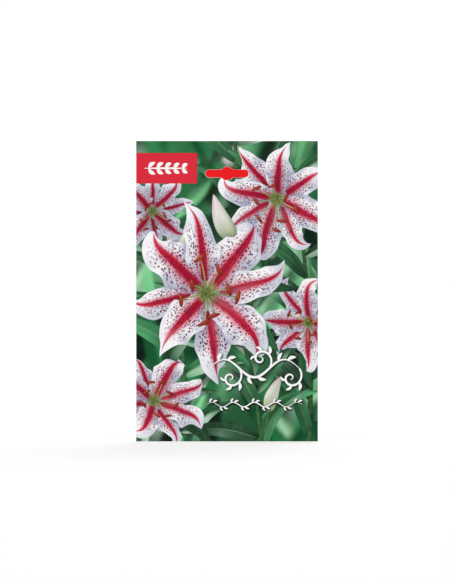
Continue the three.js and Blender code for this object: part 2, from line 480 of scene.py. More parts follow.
def without_slivers(bm):
    """Takes out the faces with no area that a cut leaves, and any point that is then left alone."""
    bmesh.ops.dissolve_degenerate(bm, edges=bm.edges[:], dist=0.002 * MM)
    bmesh.ops.delete(bm, geom=[vert for vert in bm.verts if not vert.link_faces], context="VERTS")
    return bm


def around(outline):
    """The pairs of neighbours round a closed outline."""
    return zip(outline, outline[1:] + outline[:1])


def inside_outline(outline, x, z):
    """If a point lies inside an outline, by counting the edges to its right."""
    crossings = 0
    for (x1, z1), (x2, z2) in around(outline):
        if (z1 > z) != (z2 > z) and x < x1 + (z - z1) / (z2 - z1) * (x2 - x1):
            crossings += 1
    return crossings % 2 == 1


def arc(middle, radius, start, end, steps):
    """Points on an arc round middle, from angle start to angle end, seen from the printed side."""
    angles = [start + (end - start) * i / steps for i in range(steps + 1)]
    return [(middle[0] + radius * cos(a), middle[1] + radius * sin(a)) for a in angles]


def slot_outline(inset=0.0):
    """The euro slot's outline on the card: a bar with round ends and a circle in the middle."""
    half = SLOT_BAR / 2 - inset
    circle = SLOT_CIRCLE - inset
    fillet = SLOT_FILLET + inset
    end = SLOT_LENGTH / 2 - SLOT_BAR / 2
    corner = sqrt((circle + fillet) ** 2 - (half + fillet) ** 2)
    lean = atan2(half + fillet, corner)
    side = arc((end, 0), half, 0, pi / 2, 6)
    side += arc((corner, half + fillet), fillet, -pi / 2, lean - pi, 4)
    side += arc((0, 0), circle, lean, pi / 2, 5)[1:-1]
    upper = (side + [(0, circle)] + [(-x, z) for x, z in reversed(side)])[:-1]
    return [(x, SLOT_MIDDLE + z) for x, z in upper + [(-x, -z) for x, z in upper]]


def cut_slot(bm):
    """Cuts the hanging slot out of a layer of the print."""
    outline = slot_outline()
    half = SLOT_LENGTH / 2

    def near(face):
        return (min(v.co.x for v in face.verts) < half and max(v.co.x for v in face.verts) > -half
                and min(v.co.z for v in face.verts) < SLOT_MIDDLE + SLOT_CIRCLE
                and max(v.co.z for v in face.verts) > SLOT_MIDDLE - SLOT_CIRCLE)

    if not any(near(face) for face in bm.faces):
        return
    for (x1, z1), (x2, z2) in around(outline):
        bisected(bm, [face for face in bm.faces if near(face)], (x1, 0, z1), (z1 - z2, 0, x2 - x1))
    middles = [(face, face.calc_center_median()) for face in bm.faces]
    gone = [face for face, middle in middles if inside_outline(outline, middle.x, middle.z)]
    bmesh.ops.delete(bm, geom=gone, context="FACES")


def bare_board(settings):
    """The board as a closed slab with the slot through it. Its front lies behind the printed layers."""
    front = card_low.y + settings.build_up
    bm = bmesh.new()
    corners = [(card_low.x, card_low.z), (card_high.x, card_low.z),
               (card_high.x, card_high.z), (card_low.x, card_high.z)]
    for outline in (corners, slot_outline()):
        for pair in around([bm.verts.new((x, front, z)) for x, z in outline]):
            bm.edges.new(pair)
    bmesh.ops.triangle_fill(bm, edges=bm.edges[:], use_beauty=True, normal=(0, -1, 0))
    return thickened(bm, card_high.y - front)


def cut_ground(bm, cell):
    """Cuts the board's front into a fine mesh, so that it can carry the background's colours."""
    for axis, low, high in CARD_SIDES:
        steps = round((high - low) / cell)
        for i in range(1, steps):
            point, normal = [0, 0, 0], [0, 0, 0]
            point[axis], normal[axis] = low + (high - low) * i / steps, 1
            bisected(bm, [face for face in bm.faces if face.normal.y < -0.9], point, normal)
    without_slivers(bm)


# ---- the picture's soft background ----

CANVAS_STEP = 0.5 * MM
CANVAS_MARGIN = 20 * MM
# Far to near: how many leaves, their length and softness, and the tones that they are drawn in.
GARDEN_LAYERS = (
    (70, (24 * MM, 54 * MM), 4.2 * MM,
     ((0, 16, 8), (10, 84, 44), (62, 148, 90), (116, 188, 134), (204, 228, 208))),
    (70, (26 * MM, 60 * MM), 2.0 * MM, ((0, 12, 6), (4, 62, 34), (40, 126, 74), (150, 200, 158))),
    (46, (34 * MM, 84 * MM), 0.9 * MM, ((0, 18, 10), (2, 62, 34), (26, 106, 60), (104, 176, 122))),
)
# Blossoms too far off to be sharp: across and up from the card's lower left corner, size, and tone.
FAR_BLOSSOMS = (
    ((0.22, 0.63), 15 * MM, (240, 208, 220)),
    ((0.12, 0.56), 11 * MM, (246, 226, 234)),
    ((0.93, 0.36), 15 * MM, (238, 200, 216)),
    ((0.46, 0.965), 13 * MM, (244, 220, 230)),
    ((0.62, 0.33), 9 * MM, (236, 206, 218)),
)
FAR_SOFTNESS = 2.8 * MM


class Canvas:
    """A painted ground, a little larger than the card. Colours are linear."""

    def __init__(self):
        across = np.arange(0, CARD_WIDTH + 2 * CANVAS_MARGIN, CANVAS_STEP) + card_low.x - CANVAS_MARGIN
        up = np.arange(0, CARD_HEIGHT + 2 * CANVAS_MARGIN, CANVAS_STEP) + card_low.z - CANVAS_MARGIN
        self.x, self.z = np.meshgrid(across, up)
        self.colours = np.zeros((*self.x.shape, 3))
        self.take_new_layer()

    def take_new_layer(self):
        self.ink = np.zeros_like(self.colours)
        self.cover = np.zeros_like(self.x)

    def fill(self, inside, tone, light, cover=1):
        self.ink[inside] = (np.array(tone) * light[..., None])[inside]
        self.cover[inside] = cover

    def lay(self, softness, strength=1):
        """Lays the layer over the canvas, blurred. Its cover is how much of the canvas it hides."""
        cover = self.cover * strength
        hidden = self.blurred(cover, softness)[..., None]
        ink = np.stack([self.blurred(self.ink[..., i] * cover, softness) for i in range(3)], axis=-1)
        self.colours = self.colours * (1 - hidden) + ink
        self.take_new_layer()

    def blurred(self, values, softness):
        up = np.fft.fftfreq(values.shape[0], CANVAS_STEP)[:, None]
        across = np.fft.rfftfreq(values.shape[1], CANVAS_STEP)[None, :]
        keep = np.exp(-2 * (pi * softness) ** 2 * (up ** 2 + across ** 2))
        return np.fft.irfft2(np.fft.rfft2(values) * keep, s=values.shape)

    def at(self, x, z):
        """The colour at one place of the card, between the nearest four points."""
        column = (x - self.x[0, 0]) / CANVAS_STEP
        row = (z - self.z[0, 0]) / CANVAS_STEP
        left, below = int(column), int(row)
        right, up = column - left, row - below
        lower, upper = (self.colours[line, left] * (1 - right) + self.colours[line, left + 1] * right
                        for line in (below, below + 1))
        return lower * (1 - up) + upper * up


def paint_leaf(canvas, middle, reach, turn, tone):
    """Paints one pointed leaf, its one half in the light and its other half in shade."""
    along = (canvas.x - middle[0]) * cos(turn) + (canvas.z - middle[1]) * sin(turn)
    across = (canvas.z - middle[1]) * cos(turn) - (canvas.x - middle[0]) * sin(turn)
    share = 2 * along / reach
    half = 0.11 * reach * np.clip(1 - share ** 2, 0, 1) ** 0.8 * (1 - 0.25 * share)
    fold = np.where(across > 0, 1.35, 0.7)
    rib = 1 + 0.7 * np.exp(-(across / (0.008 * reach)) ** 2)
    canvas.fill((np.abs(share) < 1) & (np.abs(across) < half), tone, fold * rib * (1 + 0.35 * share))


def paint_far_blossoms(canvas, rng):
    for (across, up), size, tone in FAR_BLOSSOMS:
        x = canvas.x - (card_low.x + across * CARD_WIDTH)
        z = canvas.z - (card_low.z + up * CARD_HEIGHT)
        angle = np.arctan2(z, x) + rng.uniform(0, TAU)
        inside = np.hypot(x, z) < size * (0.72 + 0.28 * np.abs(np.cos(3 * angle)))
        canvas.fill(inside, paint(*tone), 0.92 + 0.08 * np.cos(6 * angle), 0.9)
    canvas.lay(FAR_SOFTNESS)


def painted_garden(seed):
    """The out-of-focus garden: foliage in layers from far to near, with a few far blossoms between them."""
    rng = random.Random(seed)
    canvas = Canvas()
    height = (canvas.z - card_low.z) / CARD_HEIGHT
    side = (canvas.x - card_low.x) / CARD_WIDTH
    light = np.clip(0.35 + 0.4 * height - 0.25 * np.abs(side - 0.55), 0, 1)[..., None]
    canvas.colours = np.array(paint(4, 32, 18)) * (1 - light) + np.array(paint(56, 134, 82)) * light
    for number, (leaves, reaches, softness, tones) in enumerate(GARDEN_LAYERS):
        for _ in range(leaves):
            middle = [rng.uniform(places[0, 0], places[-1, -1]) for places in (canvas.x, canvas.z)]
            turn = rng.uniform(0.15 * pi, 0.85 * pi) + rng.choice((0, pi))
            tone = paint(*rng.choice(tones))
            paint_leaf(canvas, middle, rng.uniform(*reaches), turn, tone)
        canvas.lay(softness, 0.85 + 0.05 * number)
        if number == 0:
            paint_far_blossoms(canvas, rng)
    return canvas


@material("Soft ground ink")
def soft_ground(graph):
    """Material: the garden behind the blossoms, whose colours the board's front carries."""
    mottle = graph.place().noise(900).smooth(0.25, 0.75, 0.0, 0.10)
    return printed(graph, graph.mix(mottle, graph.attribute("ground", "Color"), (0.0, 0.02, 0.01)))


@material("Bare board")
def bare_pulp(graph):
    """Material: the board where it isn't printed, off-white pulp with fibres and specks."""
    place = graph.place()
    fibres = place.stretched(1, 1, 0.5).noise(3200, 4, 0.65)
    tone = graph.layered(
        paint(240, 238, 232),
        (fibres.smooth(0.35, 0.7), paint(231, 228, 220)),
        (place.noise(60, 3).smooth(0.3, 0.8, 0.0, 0.35), paint(228, 223, 212)),
        (place.noise(2600, 1).smooth(0.73, 0.78, 0.0, 0.5), paint(150, 138, 118)))
    return {"Base Color": tone, "Roughness": fibres.smooth(0.3, 0.7, 0.72, 0.88),
            "Normal": fibres.bump(0.25, 0.06 * MM)}


class PACKET_OT_card(bpy.types.Operator):
    """Make the board with its slot, its soft printed ground and its bare back"""

    bl_idname = "bulb_packet.card"
    bl_label = "Printed Card"

    def execute(self, context):
        settings = context.scene.bulb_packet_card
        canvas = painted_garden(context.scene.bulb_packet_picture.seed)
        bm = bare_board(settings)
        cut_ground(bm, settings.ground_cell)
        ground = bm.verts.layers.float_color.new("ground")
        for vert in bm.verts:
            vert[ground] = (*canvas.at(vert.co.x, vert.co.z), 1)
        for face in bm.faces:
            face.material_index = 0 if face.normal.y < -0.9 else 1
        add_piece("printed_card", bm, (soft_ground(), bare_pulp()), ("picture_card",))
        return {"FINISHED"}


# ---- the picture's blossoms, buds and leaves ----
#
# Each is modelled as the real thing, in the round and in metres, lit by a painted light, and then pressed
# flat into the print. The viewer looks along +Y.

PAINTED_LIGHT = Vector((-0.60, -0.48, 0.72)).normalized()
GLEAM_HALFWAY = (PAINTED_LIGHT + Vector((0, -1, 0))).normalized()
SHADE_RAYS, SHADE_REACH = 26, 30 * MM
LIGHT_RAYS, LIGHT_SPREAD = 5, 0.2
PETAL_STEPS = 60
SHEET_THICKNESS = 0.012 * MM  # of a petal or a leaf in the print
PRINT_FROM, PRINT_TO = 0.2, 0.93  # the picture's share of the print's build-up

BLOSSOMS = (
    # name, middle across and up in mm, radius, nod, turn, spin, depth, seed
    ("blossom_large", (-16, 107), 57, -12, 10, 8, 0, 3),
    ("blossom_upper", (38, 179), 43, 14, -18, 27, 14, 5),
    ("blossom_lower", (-55, 28), 37, -22, 24, 14, 8, 8),
    ("blossom_right", (62, 88), 34, 10, -30, 40, 24, 12),
    ("blossom_behind", (-56, 170), 30, 18, 20, 5, 24, 15),
)
STEMS = (
    # foot and head, each across, up and deep in mm, and the number of leaves
    ((26, -10, 46), (2, 104, 36), 11),
    ((-30, -10, 54), (-46, 152, 40), 12),
    ((60, -10, 56), (52, 176, 42), 14),
    ((-4, 120, 52), (6, 224, 46), 7),
)
BUDS = (
    # base and tip, width, and the foot of the stalk
    ((6, 146, 6), (-10, 181, 2), 14, (18, 96, 22)),
    ((30, 22, 14), (40, 48, 8), 10, (20, -4, 30)),
    ((-34, 140, 26), (-22, 158, 24), 9, (-30, 110, 34)),
)

# One part of the picture in the round: its mesh, its ink's place in the piece, if it is an open sheet, and a
# number that sets its ink apart from its neighbours'.
Part = namedtuple("Part", "bm ink is_sheet seed", defaults=(False, 0.5))


def on_card(across, up, depth=0):
    """A point from millimetres: across from the card's middle line, up from its foot, and depth behind it."""
    return Vector((across * MM, depth * MM, up * MM))


def facing_frame(run, towards):
    """Two directions square to a run: aside, and out towards the viewer."""
    aside = run.cross(Vector((0, towards, 0))).normalized()
    return aside, aside.cross(run).normalized()


class Blossom:
    """Where one blossom stands on the card, how large it is and where it looks."""

    def __init__(self, middle, radius, nod, turn, spin, depth, seed):
        self.middle = on_card(*middle, depth)
        self.radius = radius * MM
        self.pose = Matrix.Rotation(radians(turn), 3, "Z") @ Matrix.Rotation(radians(nod), 3, "X")
        self.spin = radians(spin)
        self.rng = random.Random(seed)

    def put(self, right, up, out):
        """A point of the blossom's own space, in front of the card: out is along the blossom's axis."""
        return self.middle + self.pose @ Vector((right, -out, up))

    def put_round(self, away, turn, out, sag=0.0):
        """A point away from the blossom's axis, at a turn round it, that hangs down by sag."""
        return self.put(away * cos(turn), away * sin(turn) - sag, out)


def petal_width(along):
    """Share of the petal's full half-width, from its claw to its drawn-out tip."""
    return max(0.02, 1.8 * (along + 0.03) ** 0.55 * max(0.0, 1 - along ** 2.2) ** 1.05)


def petal_spine(heading, rise, bend, curl, sway, hook):
    """A petal's middle line for a length of 1, as (right, up, out): each step's point, its side and its face.

    It leaves the throat at the angle rise and bends by bend. Its tip rolls back by curl and turns by hook.
    """
    point = Vector((0, 0, 0))
    spine = []
    for i in range(PETAL_STEPS + 1):
        share = i / PETAL_STEPS
        tip = smooth_step(share, 0.55, 1.0) ** 1.4
        slope = rise - bend * share - curl * tip
        turn = heading + 2 * sway * share + hook * tip
        aside = Vector((-sin(turn), cos(turn), 0))
        ahead = Vector((cos(slope) * cos(turn), cos(slope) * sin(turn), sin(slope)))
        spine.append((point, aside, ahead.cross(aside)))
        point = point + ahead / PETAL_STEPS
    return spine


def petal(blossom, heading, inner):
    """One petal. The inner ones are broader and lie before the outer ones."""
    rng = blossom.rng
    reach = blossom.radius * rng.uniform(1.16, 1.34)
    half = reach * (rng.uniform(0.20, 0.24) if inner else rng.uniform(0.155, 0.185))
    spine = petal_spine(
        heading, radians(rng.uniform(28, 40)), radians(rng.uniform(36, 56)),
        radians(rng.choice((15, 40, 65, 90)) + rng.uniform(-12, 12)), rng.uniform(-0.15, 0.15),
        rng.choice((-1.3, -0.5, 0.4, 1.1)) + rng.uniform(-0.2, 0.2))
    twist = rng.uniform(-0.25, 0.25)
    tip_twist = rng.choice((-1.0, -0.5, 0.4, 0.9))
    phases = [rng.uniform(0, TAU) for _ in range(4)]
    before = Vector((0, 0, 0.05 * reach if inner else 0))

    def place(across, along):
        side = 2 * across - 1
        width = half * petal_width(along)
        point, aside, face = spine[round(along * PETAL_STEPS)]
        first, second = phases[:2] if side > 0 else phases[2:]
        waves = sin(TAU * 1.9 * along + first) + 0.5 * sin(TAU * 4.3 * along + second)
        lift = 0.26 * width * abs(side) ** 2.6 * waves * min(1.0, 3 * along)
        lift -= 0.30 * width * side * side + 0.05 * width * exp(-(side / 0.13) ** 2)
        edge = side * width * (1 + 0.07 * sin(TAU * 2.7 * along + first + second))
        roll = twist * along + tip_twist * smooth_step(along, 0.5, 1.0)
        sideways = aside * cos(roll) + face * sin(roll)
        forwards = face * cos(roll) - aside * sin(roll)
        return blossom.put(*(point * reach + before + sideways * edge + forwards * lift))

    return facing_front(sheet(26, PETAL_STEPS, place))


def tube(points, radius_at, sides=8):
    """A closed tube along points. radius_at(share) gives its radius."""
    bm = new_mesh()
    rows = len(points) - 1
    bmesh.ops.create_cone(bm, cap_ends=True, segments=sides, radius1=1, radius2=1, depth=1)
    long_edges = [edge for edge in bm.edges if abs(edge.verts[0].co.z - edge.verts[1].co.z) > 0.5]
    bmesh.ops.subdivide_edges(bm, edges=long_edges, cuts=rows - 1)
    for vert in bm.verts:
        share = vert.co.z + 0.5
        index = min(rows - 1, int(share * rows))
        middle = points[index].lerp(points[index + 1], share * rows - index)
        heading = (points[min(rows, index + 2)] - points[max(0, index - 1)]).normalized()
        aside = heading.orthogonal().normalized()
        if abs(heading.y) < 0.99:
            aside = heading.cross(Vector((0, 1, 0))).normalized()
        vert.co = middle + radius_at(share) * (aside * vert.co.x + heading.cross(aside) * vert.co.y)
    bm.normal_update()
    return bm


def curve_points(controls, steps):
    """Points on a smooth curve through the controls."""
    points = []
    spans = len(controls) - 1
    for place in (i / steps * spans for i in range(steps + 1)):
        k = min(spans - 1, int(place))
        t = place - k
        p0, p1, p2, p3 = (controls[min(spans, max(0, k + j))] for j in (-1, 0, 1, 2))
        points.append(0.5 * (2 * p1 + (p2 - p0) * t + (2 * p0 - 5 * p1 + 4 * p2 - p3) * t * t
                             + (3 * p1 - p0 - 3 * p2 + p3) * t ** 3))
    return points


def stamens(blossom, number=8):
    """Pale filaments that rise and spread from the middle. Gives them and, apart, their anthers."""
    rng, radius = blossom.rng, blossom.radius
    half, thick = 0.085 * radius, 0.029 * radius
    filaments, anthers = [], []
    for i in range(number):
        turn = blossom.spin + i * GOLDEN_ANGLE + rng.uniform(-0.2, 0.2)
        reach = radius * (0.16 + 0.26 * sqrt((i + 1) / number)) * rng.uniform(0.9, 1.1)
        rise = radius * rng.uniform(0.26, 0.36)
        sag = rng.uniform(-0.02, 0.10) * radius
        path = [blossom.put_round(reach * share ** 1.3, turn, rise * sin(pi / 2 * share) + 0.04 * radius,
                                  sag * share ** 2) for share in (k / 8 for k in range(9))]
        filaments.append(tube(path, lambda share: radius * (0.013 - 0.004 * share), 6))
        end = (path[8] - path[6]).normalized()
        heading = (end.cross(Vector((0, 1, 0))).normalized() + end * rng.uniform(-1, 1)).normalized()
        ends = [path[8] + heading * half * s + Vector((0, -0.3 * half * (1 - s * s), 0))
                for s in (-1, -0.6, -0.2, 0.2, 0.6, 1)]
        anthers.append(tube(ends, lambda share: thick * max(0.15, sin(pi * share)) ** 0.5))
    return filaments, anthers


def styles(blossom, number=16):
    """The tuft of short green styles in the blossom's middle."""
    radius = blossom.radius
    tuft = []
    for i in range(number):
        away = radius * 0.055 * sqrt(i / number)
        top = radius * (0.24 - 0.06 * i / number)
        path = [blossom.put_round(away * (1 + share), i * GOLDEN_ANGLE, top * share)
                for share in (0.2, 0.5, 0.8, 1.0)]
        tuft.append(tube(path, lambda share: radius * (0.020 - 0.012 * share), 6))
    return tuft


def leaf(base, tip, width, arch, rng):
    """A long blade of a leaf, folded along its midrib. It rises from its base and bends over to its tip."""
    base, tip = on_card(*base), on_card(*tip)
    run = tip - base
    aside, out = facing_frame(run, -1)
    bow = -copysign(rng.uniform(0.05, 0.16), run.x) * run.length
    fold = rng.uniform(0.2, 0.6)
    phase = rng.uniform(0, TAU)
    turned = rng.uniform(-0.7, 0.7)

    def place(across, along):
        side = 2 * across - 1
        half = width * MM / 2 * sin(pi * (0.02 + 0.97 * along) ** 0.68) ** 0.85
        lift = arch * MM * sin(pi * along) + (fold * abs(side) + turned * along * side) * half
        lift += 0.015 * run.length * sin(TAU * 1.4 * along + phase) * side
        return base + run * along + aside * (side * half + bow * sin(pi * along)) + out * lift

    return facing_front(sheet(14, 30, place))


def bud(base, tip, width, rng):
    """A closed bud: a pointed body with the furrows of its folded petals."""
    base, tip = on_card(*base), on_card(*tip)
    run = tip - base
    aside, toward = facing_frame(run, 1)
    bm = new_mesh()
    bmesh.ops.create_uvsphere(bm, u_segments=32, v_segments=24, radius=1, calc_uvs=True)
    spin = rng.uniform(0, TAU)
    for vert in bm.verts:
        along = (vert.co.z + 1) / 2
        angle = atan2(vert.co.y, vert.co.x)
        half = width * MM / 2 * sin(pi * min(1, along ** 0.62)) ** 0.75
        half *= 1 - 0.13 * abs(sin(1.5 * (angle + spin + 1.2 * along))) ** 6
        bow = 0.06 * run.length * sin(pi * along)
        vert.co = base + run * along + aside * (half * cos(angle) + bow) + toward * half * sin(angle)
    return outwards(bm, 0.01 * MM)


def blossom_parts(blossom, petals):
    parts = []
    for i in range(petals):
        turn = blossom.spin + TAU * i / petals + blossom.rng.uniform(-0.08, 0.08)
        parts.append(Part(petal(blossom, turn, i % 2), 0, True, blossom.rng.uniform(0, 50)))
    for ink, tubes in enumerate((*stamens(blossom), styles(blossom)), 1):
        parts += [Part(bm, ink) for bm in tubes]
    return parts


def leaf_parts(rng):
    """The stems with their blades, and more blades that fan out behind each blossom."""
    parts = []
    for _, (x, z), radius, _, _, spin, depth, _ in BLOSSOMS:
        for i in range(6):
            turn = radians(spin) + TAU * (i + rng.uniform(-0.25, 0.25)) / 6
            start, reach = 0.35 * radius, radius * rng.uniform(1.15, 1.5)
            base = (x + start * cos(turn), z + start * sin(turn), depth + 19)
            tip = (x + reach * cos(turn), z + reach * sin(turn), depth + rng.uniform(12, 28))
            blade = leaf(base, tip, rng.uniform(0.22, 0.32) * (reach - start), rng.uniform(2, 7), rng)
            parts.append(Part(blade, 0, True, rng.uniform(0.1, 1.0)))
    for foot, head, blades in STEMS:
        middle = [(a + b) / 2 + bend for a, b, bend in zip(foot, head, (5, 0, 2))]
        path = curve_points([on_card(*point) for point in (foot, middle, head)], 2 * blades)
        parts.append(Part(tube(path, lambda share: (1.9 - 0.7 * share) * MM), 1))
        for i in range(blades):
            x, depth, z = path[2 * i + 1] / MM
            turn = pi / 2 - (-1) ** i * rng.uniform(0.5, 1.5)
            reach = rng.uniform(40, 64)
            tip = (x + reach * cos(turn), z + reach * sin(turn), depth - rng.uniform(-6, 12))
            blade = leaf((x, z, depth), tip, rng.uniform(0.17, 0.25) * reach, rng.uniform(3, 10), rng)
            parts.append(Part(blade, 0, True, rng.uniform(0.0, 1.0)))
    return parts


def bud_parts(rng):
    parts = []
    for base, tip, width, foot in BUDS:
        parts.append(Part(bud(base, tip, width, rng), 0))
        ends = [on_card(*foot), (on_card(*foot) + on_card(*base)) / 2 + on_card(3, 0), on_card(*base)]
        parts.append(Part(tube(curve_points(ends, 12), lambda share: (1.3 - 0.3 * share) * MM), 1))
    return parts


# ---- the picture's inks ----


def petal_shares(graph):
    """How far along a petal or a leaf, and how far from its middle line, both from 0 to 1."""
    across = graph.axis(graph.place("UV"), "X")
    return across["Y"], (across - 0.5).math("ABSOLUTE") * 2.0


@material("Petal ink")
def petal_ink(graph):
    """Material: white petals with a crimson bar, dark freckles, fine veins and a green throat."""
    colours = bpy.context.scene.bulb_packet_picture
    white = tuple(colours.petal_white)
    flat = graph.place("UV")
    along, side = petal_shares(graph)
    seed = graph.attribute("seed")
    frayed = side + (flat.stretched(34, 3.2, 1).noise(1.0, 3.0, seed=seed) - 0.5) * 0.14
    width = graph.curve(along, ((0, 0.30), (0.12, 0.34), (0.35, 0.27), (0.7, 0.17), (0.92, 0.05), (1, 0.0)))
    vein = graph.add("ShaderNodeTexWave", {
        "Vector": flat, "Scale": 9.0, "Distortion": 2.4, "Detail": 2.0, "Detail Scale": 1.2,
    }, 1, bands_direction="X")
    shift = graph.add("ShaderNodeCombineXYZ", {"X": seed, "Y": seed})
    shift = graph.add("ShaderNodeVectorMath", {0: flat.stretched(15, 27, 1), 1: shift}, operation="ADD")
    freckles = graph.add("ShaderNodeTexVoronoi", {"Vector": shift, "Scale": 1.0, "Randomness": 0.95},
                         "Distance", voronoi_dimensions="2D")
    dots = (freckles - graph.axis(freckles["Color"], "X") * 0.20).smooth(0.22, 0.12)
    front = graph.layered(
        white,
        (vein.smooth(0.0, 0.45, 0.12, 0.0), paint(214, 196, 216)),
        (frayed.smooth(width * 2.6, width * 0.7) * 0.72, paint(226, 96, 132)),
        (frayed.smooth(width * 1.15, width * 0.55), tuple(colours.petal_bar)),
        (frayed.smooth(width * 0.45, 0.0, 0.0, 0.55) * along.smooth(0.8, 0.3), paint(150, 8, 34)),
        (dots * (along.smooth(0.90, 0.55) * side.smooth(0.92, 0.70)),
         graph.mix(along.smooth(0.2, 0.6), paint(176, 22, 52), paint(112, 20, 58))),
        ((along + side * 0.05).smooth(0.17, 0.05), paint(196, 208, 120)))
    back = graph.mix(side.smooth(0.16, 0.0, 0.0, 0.5), white, paint(206, 216, 160))
    return lit_print(graph, graph.mix(graph.attribute("reverse"), front, back), paint(138, 148, 178),
                     {"Gleam": 0.16, "Gleam Tint": (0.98, 0.98, 1.0)})


@material("Leaf ink")
def leaf_ink(graph):
    """Material: leaves with a pale midrib, veins along the blade and a green that differs by leaf."""
    green = Vector(bpy.context.scene.bulb_packet_picture.leaf_green)
    along, side = petal_shares(graph)
    tone = graph.attribute("seed")
    fibres = graph.place("UV").stretched(46, 1.2, 1).noise(1.0, 3.0, seed=tone)
    veins = (side * (TAU * 4.5)).math("SINE").smooth(0.5, 1.0, 0.0, 0.38) * side.smooth(0.98, 0.8)
    ink = graph.layered(
        tuple(green * 0.6),
        (tone, tuple(green * 3.1)),
        (graph.place().noise(160, 3, 0.6).smooth(0.35, 0.75, 0.0, 0.35), paint(104, 158, 116)),
        (fibres.smooth(0.52, 0.30, 0.0, 0.5), paint(6, 46, 28)),
        (veins, paint(150, 196, 154)),
        (side.smooth(along.smooth(0, 1, 0.12, 0.04), 0.0) * 0.75, paint(158, 196, 146)),
        (side.smooth(0.9, 1.0, 0.0, 0.4), paint(122, 164, 118)))
    return lit_print(graph, ink, paint(2, 22, 14),
                     {"Contrast": 1.7, "Gleam": 0.85, "Gleam Tint": paint(204, 226, 208)})


@material("Bud ink")
def bud_ink(graph):
    """Material: buds, green at the foot and paling to white with a blush along their furrows."""
    along = graph.axis(graph.place("UV"), "Y")
    streak = graph.place("UV").stretched(26, 2.0, 1).noise(1.0, 3)
    ground = graph.ramp(along + (streak - 0.5) * 0.35, (
        (0.0, paint(120, 160, 84)), (0.22, paint(190, 208, 150)), (0.5, paint(236, 238, 226)),
        (0.8, paint(244, 232, 236)), (1.0, paint(206, 190, 130))))
    blush = streak.smooth(0.52, 0.66) * along.smooth(0.25, 0.6, 0.0, 0.5)
    return lit_print(graph, graph.mix(blush, ground, paint(214, 104, 140)), paint(92, 112, 88))


STREAKED_INKS = {
    # light, dark and shadow tones, and the scale of the streaks
    "Stalk ink": ((88, 142, 88), (58, 110, 66), (10, 40, 28), 260),
    "Filament ink": ((216, 224, 160), (186, 204, 126), (96, 118, 60), 400),
    "Anther ink": ((206, 78, 36), (150, 38, 22), (84, 14, 12), 900),
    "Style ink": ((206, 214, 128), (160, 182, 84), (70, 92, 34), 500),
}


@cache
def streaked_ink(name):
    """Material: a thin part of the picture, streaked with a second tone."""
    light, dark, shadow, scale = STREAKED_INKS[name]

    def draw(graph):
        streak = graph.place().noise(scale, 3, 0.6).smooth(0.35, 0.65)
        return lit_print(graph, graph.mix(streak, paint(*light), paint(*dark)), paint(*shadow))

    return new_material(name, draw)


# ---- pressing the picture flat ----


def hemisphere(rays):
    """Directions spread evenly over the half space round +Z."""
    directions = []
    for i in range(rays):
        height = 1 - (i + 0.5) / rays
        flat = sqrt(1 - height * height)
        directions.append(Vector((flat * cos(i * GOLDEN_ANGLE), flat * sin(i * GOLDEN_ANGLE), height)))
    return directions


def paint_shade(bm, tree, rays):
    """Stores on each point how much of the painted light reaches it, if it gleams, and if its back shows."""
    shade, gleam, reverse = (bm.verts.layers.float.new(name) for name in ("shade", "gleam", "reverse"))
    to_light = [(PAINTED_LIGHT + LIGHT_SPREAD * ray).normalized() for ray in rays[:LIGHT_RAYS]]

    def open_share(start, directions, reach):
        passed = [tree.ray_cast(start, toward, reach)[0] is None for toward in directions]
        return sum(passed) / len(passed)

    bm.normal_update()
    for vert in bm.verts:
        normal = vert.normal.copy()
        vert[reverse] = smooth_step(normal.y, 0.02, 0.16)
        if normal.y > 0:
            normal.negate()
        start = vert.co + normal * 0.25 * MM
        turn = normal.to_track_quat("Z", "Y")
        unshaded = open_share(start, [turn @ ray for ray in rays], SHADE_REACH)
        seen = open_share(start, to_light, 2 * SHADE_REACH)
        facing = max(0.0, normal.dot(PAINTED_LIGHT))
        vert[shade] = min(1.0, 0.04 + 0.56 * unshaded ** 1.5 + 0.62 * facing * seen)
        vert[gleam] = max(0.0, normal.dot(GLEAM_HALFWAY)) ** 24 * (0.3 + 0.7 * seen)
    for layer in (shade, gleam):
        soften(bm, layer)
        soften(bm, layer)


def soften(bm, layer):
    """Draws each point's value halfway to the mean of its neighbours."""
    softened = []
    for vert in bm.verts:
        near = [edge.other_vert(vert)[layer] for edge in vert.link_edges]
        softened.append((vert[layer] + sum(near) / len(near)) / 2)
    for vert, value in zip(bm.verts, softened):
        vert[layer] = value


def shading_tree(parts):
    points, polygons = [], []
    for part in parts:
        start = len(points)
        part.bm.verts.index_update()
        points += [vert.co.copy() for vert in part.bm.verts]
        polygons += [[start + vert.index for vert in face.verts] for face in part.bm.faces]
    return BVHTree.FromPolygons(points, polygons)


def press_flat(parts, front, back):
    """Presses the parts between two depths, crops them at the card's edges and closes the sheets."""
    depths = [vert.co.y for part in parts for vert in part.bm.verts]
    near, far = min(depths), max(depths)
    for bm, _, is_sheet, number in parts:
        for vert in bm.verts:
            vert.co.y = front + (back - front) * (vert.co.y - near) / (far - near)
        cropped(bm)
        rim = [edge for edge in bm.edges if edge.is_boundary]
        if is_sheet:
            cut_slot(bm)
            thickened(without_slivers(bm), SHEET_THICKNESS)
        elif rim:
            bmesh.ops.holes_fill(bm, edges=rim, sides=0)
        seed = bm.verts.layers.float.new("seed")
        for vert in bm.verts:
            vert[seed] = number


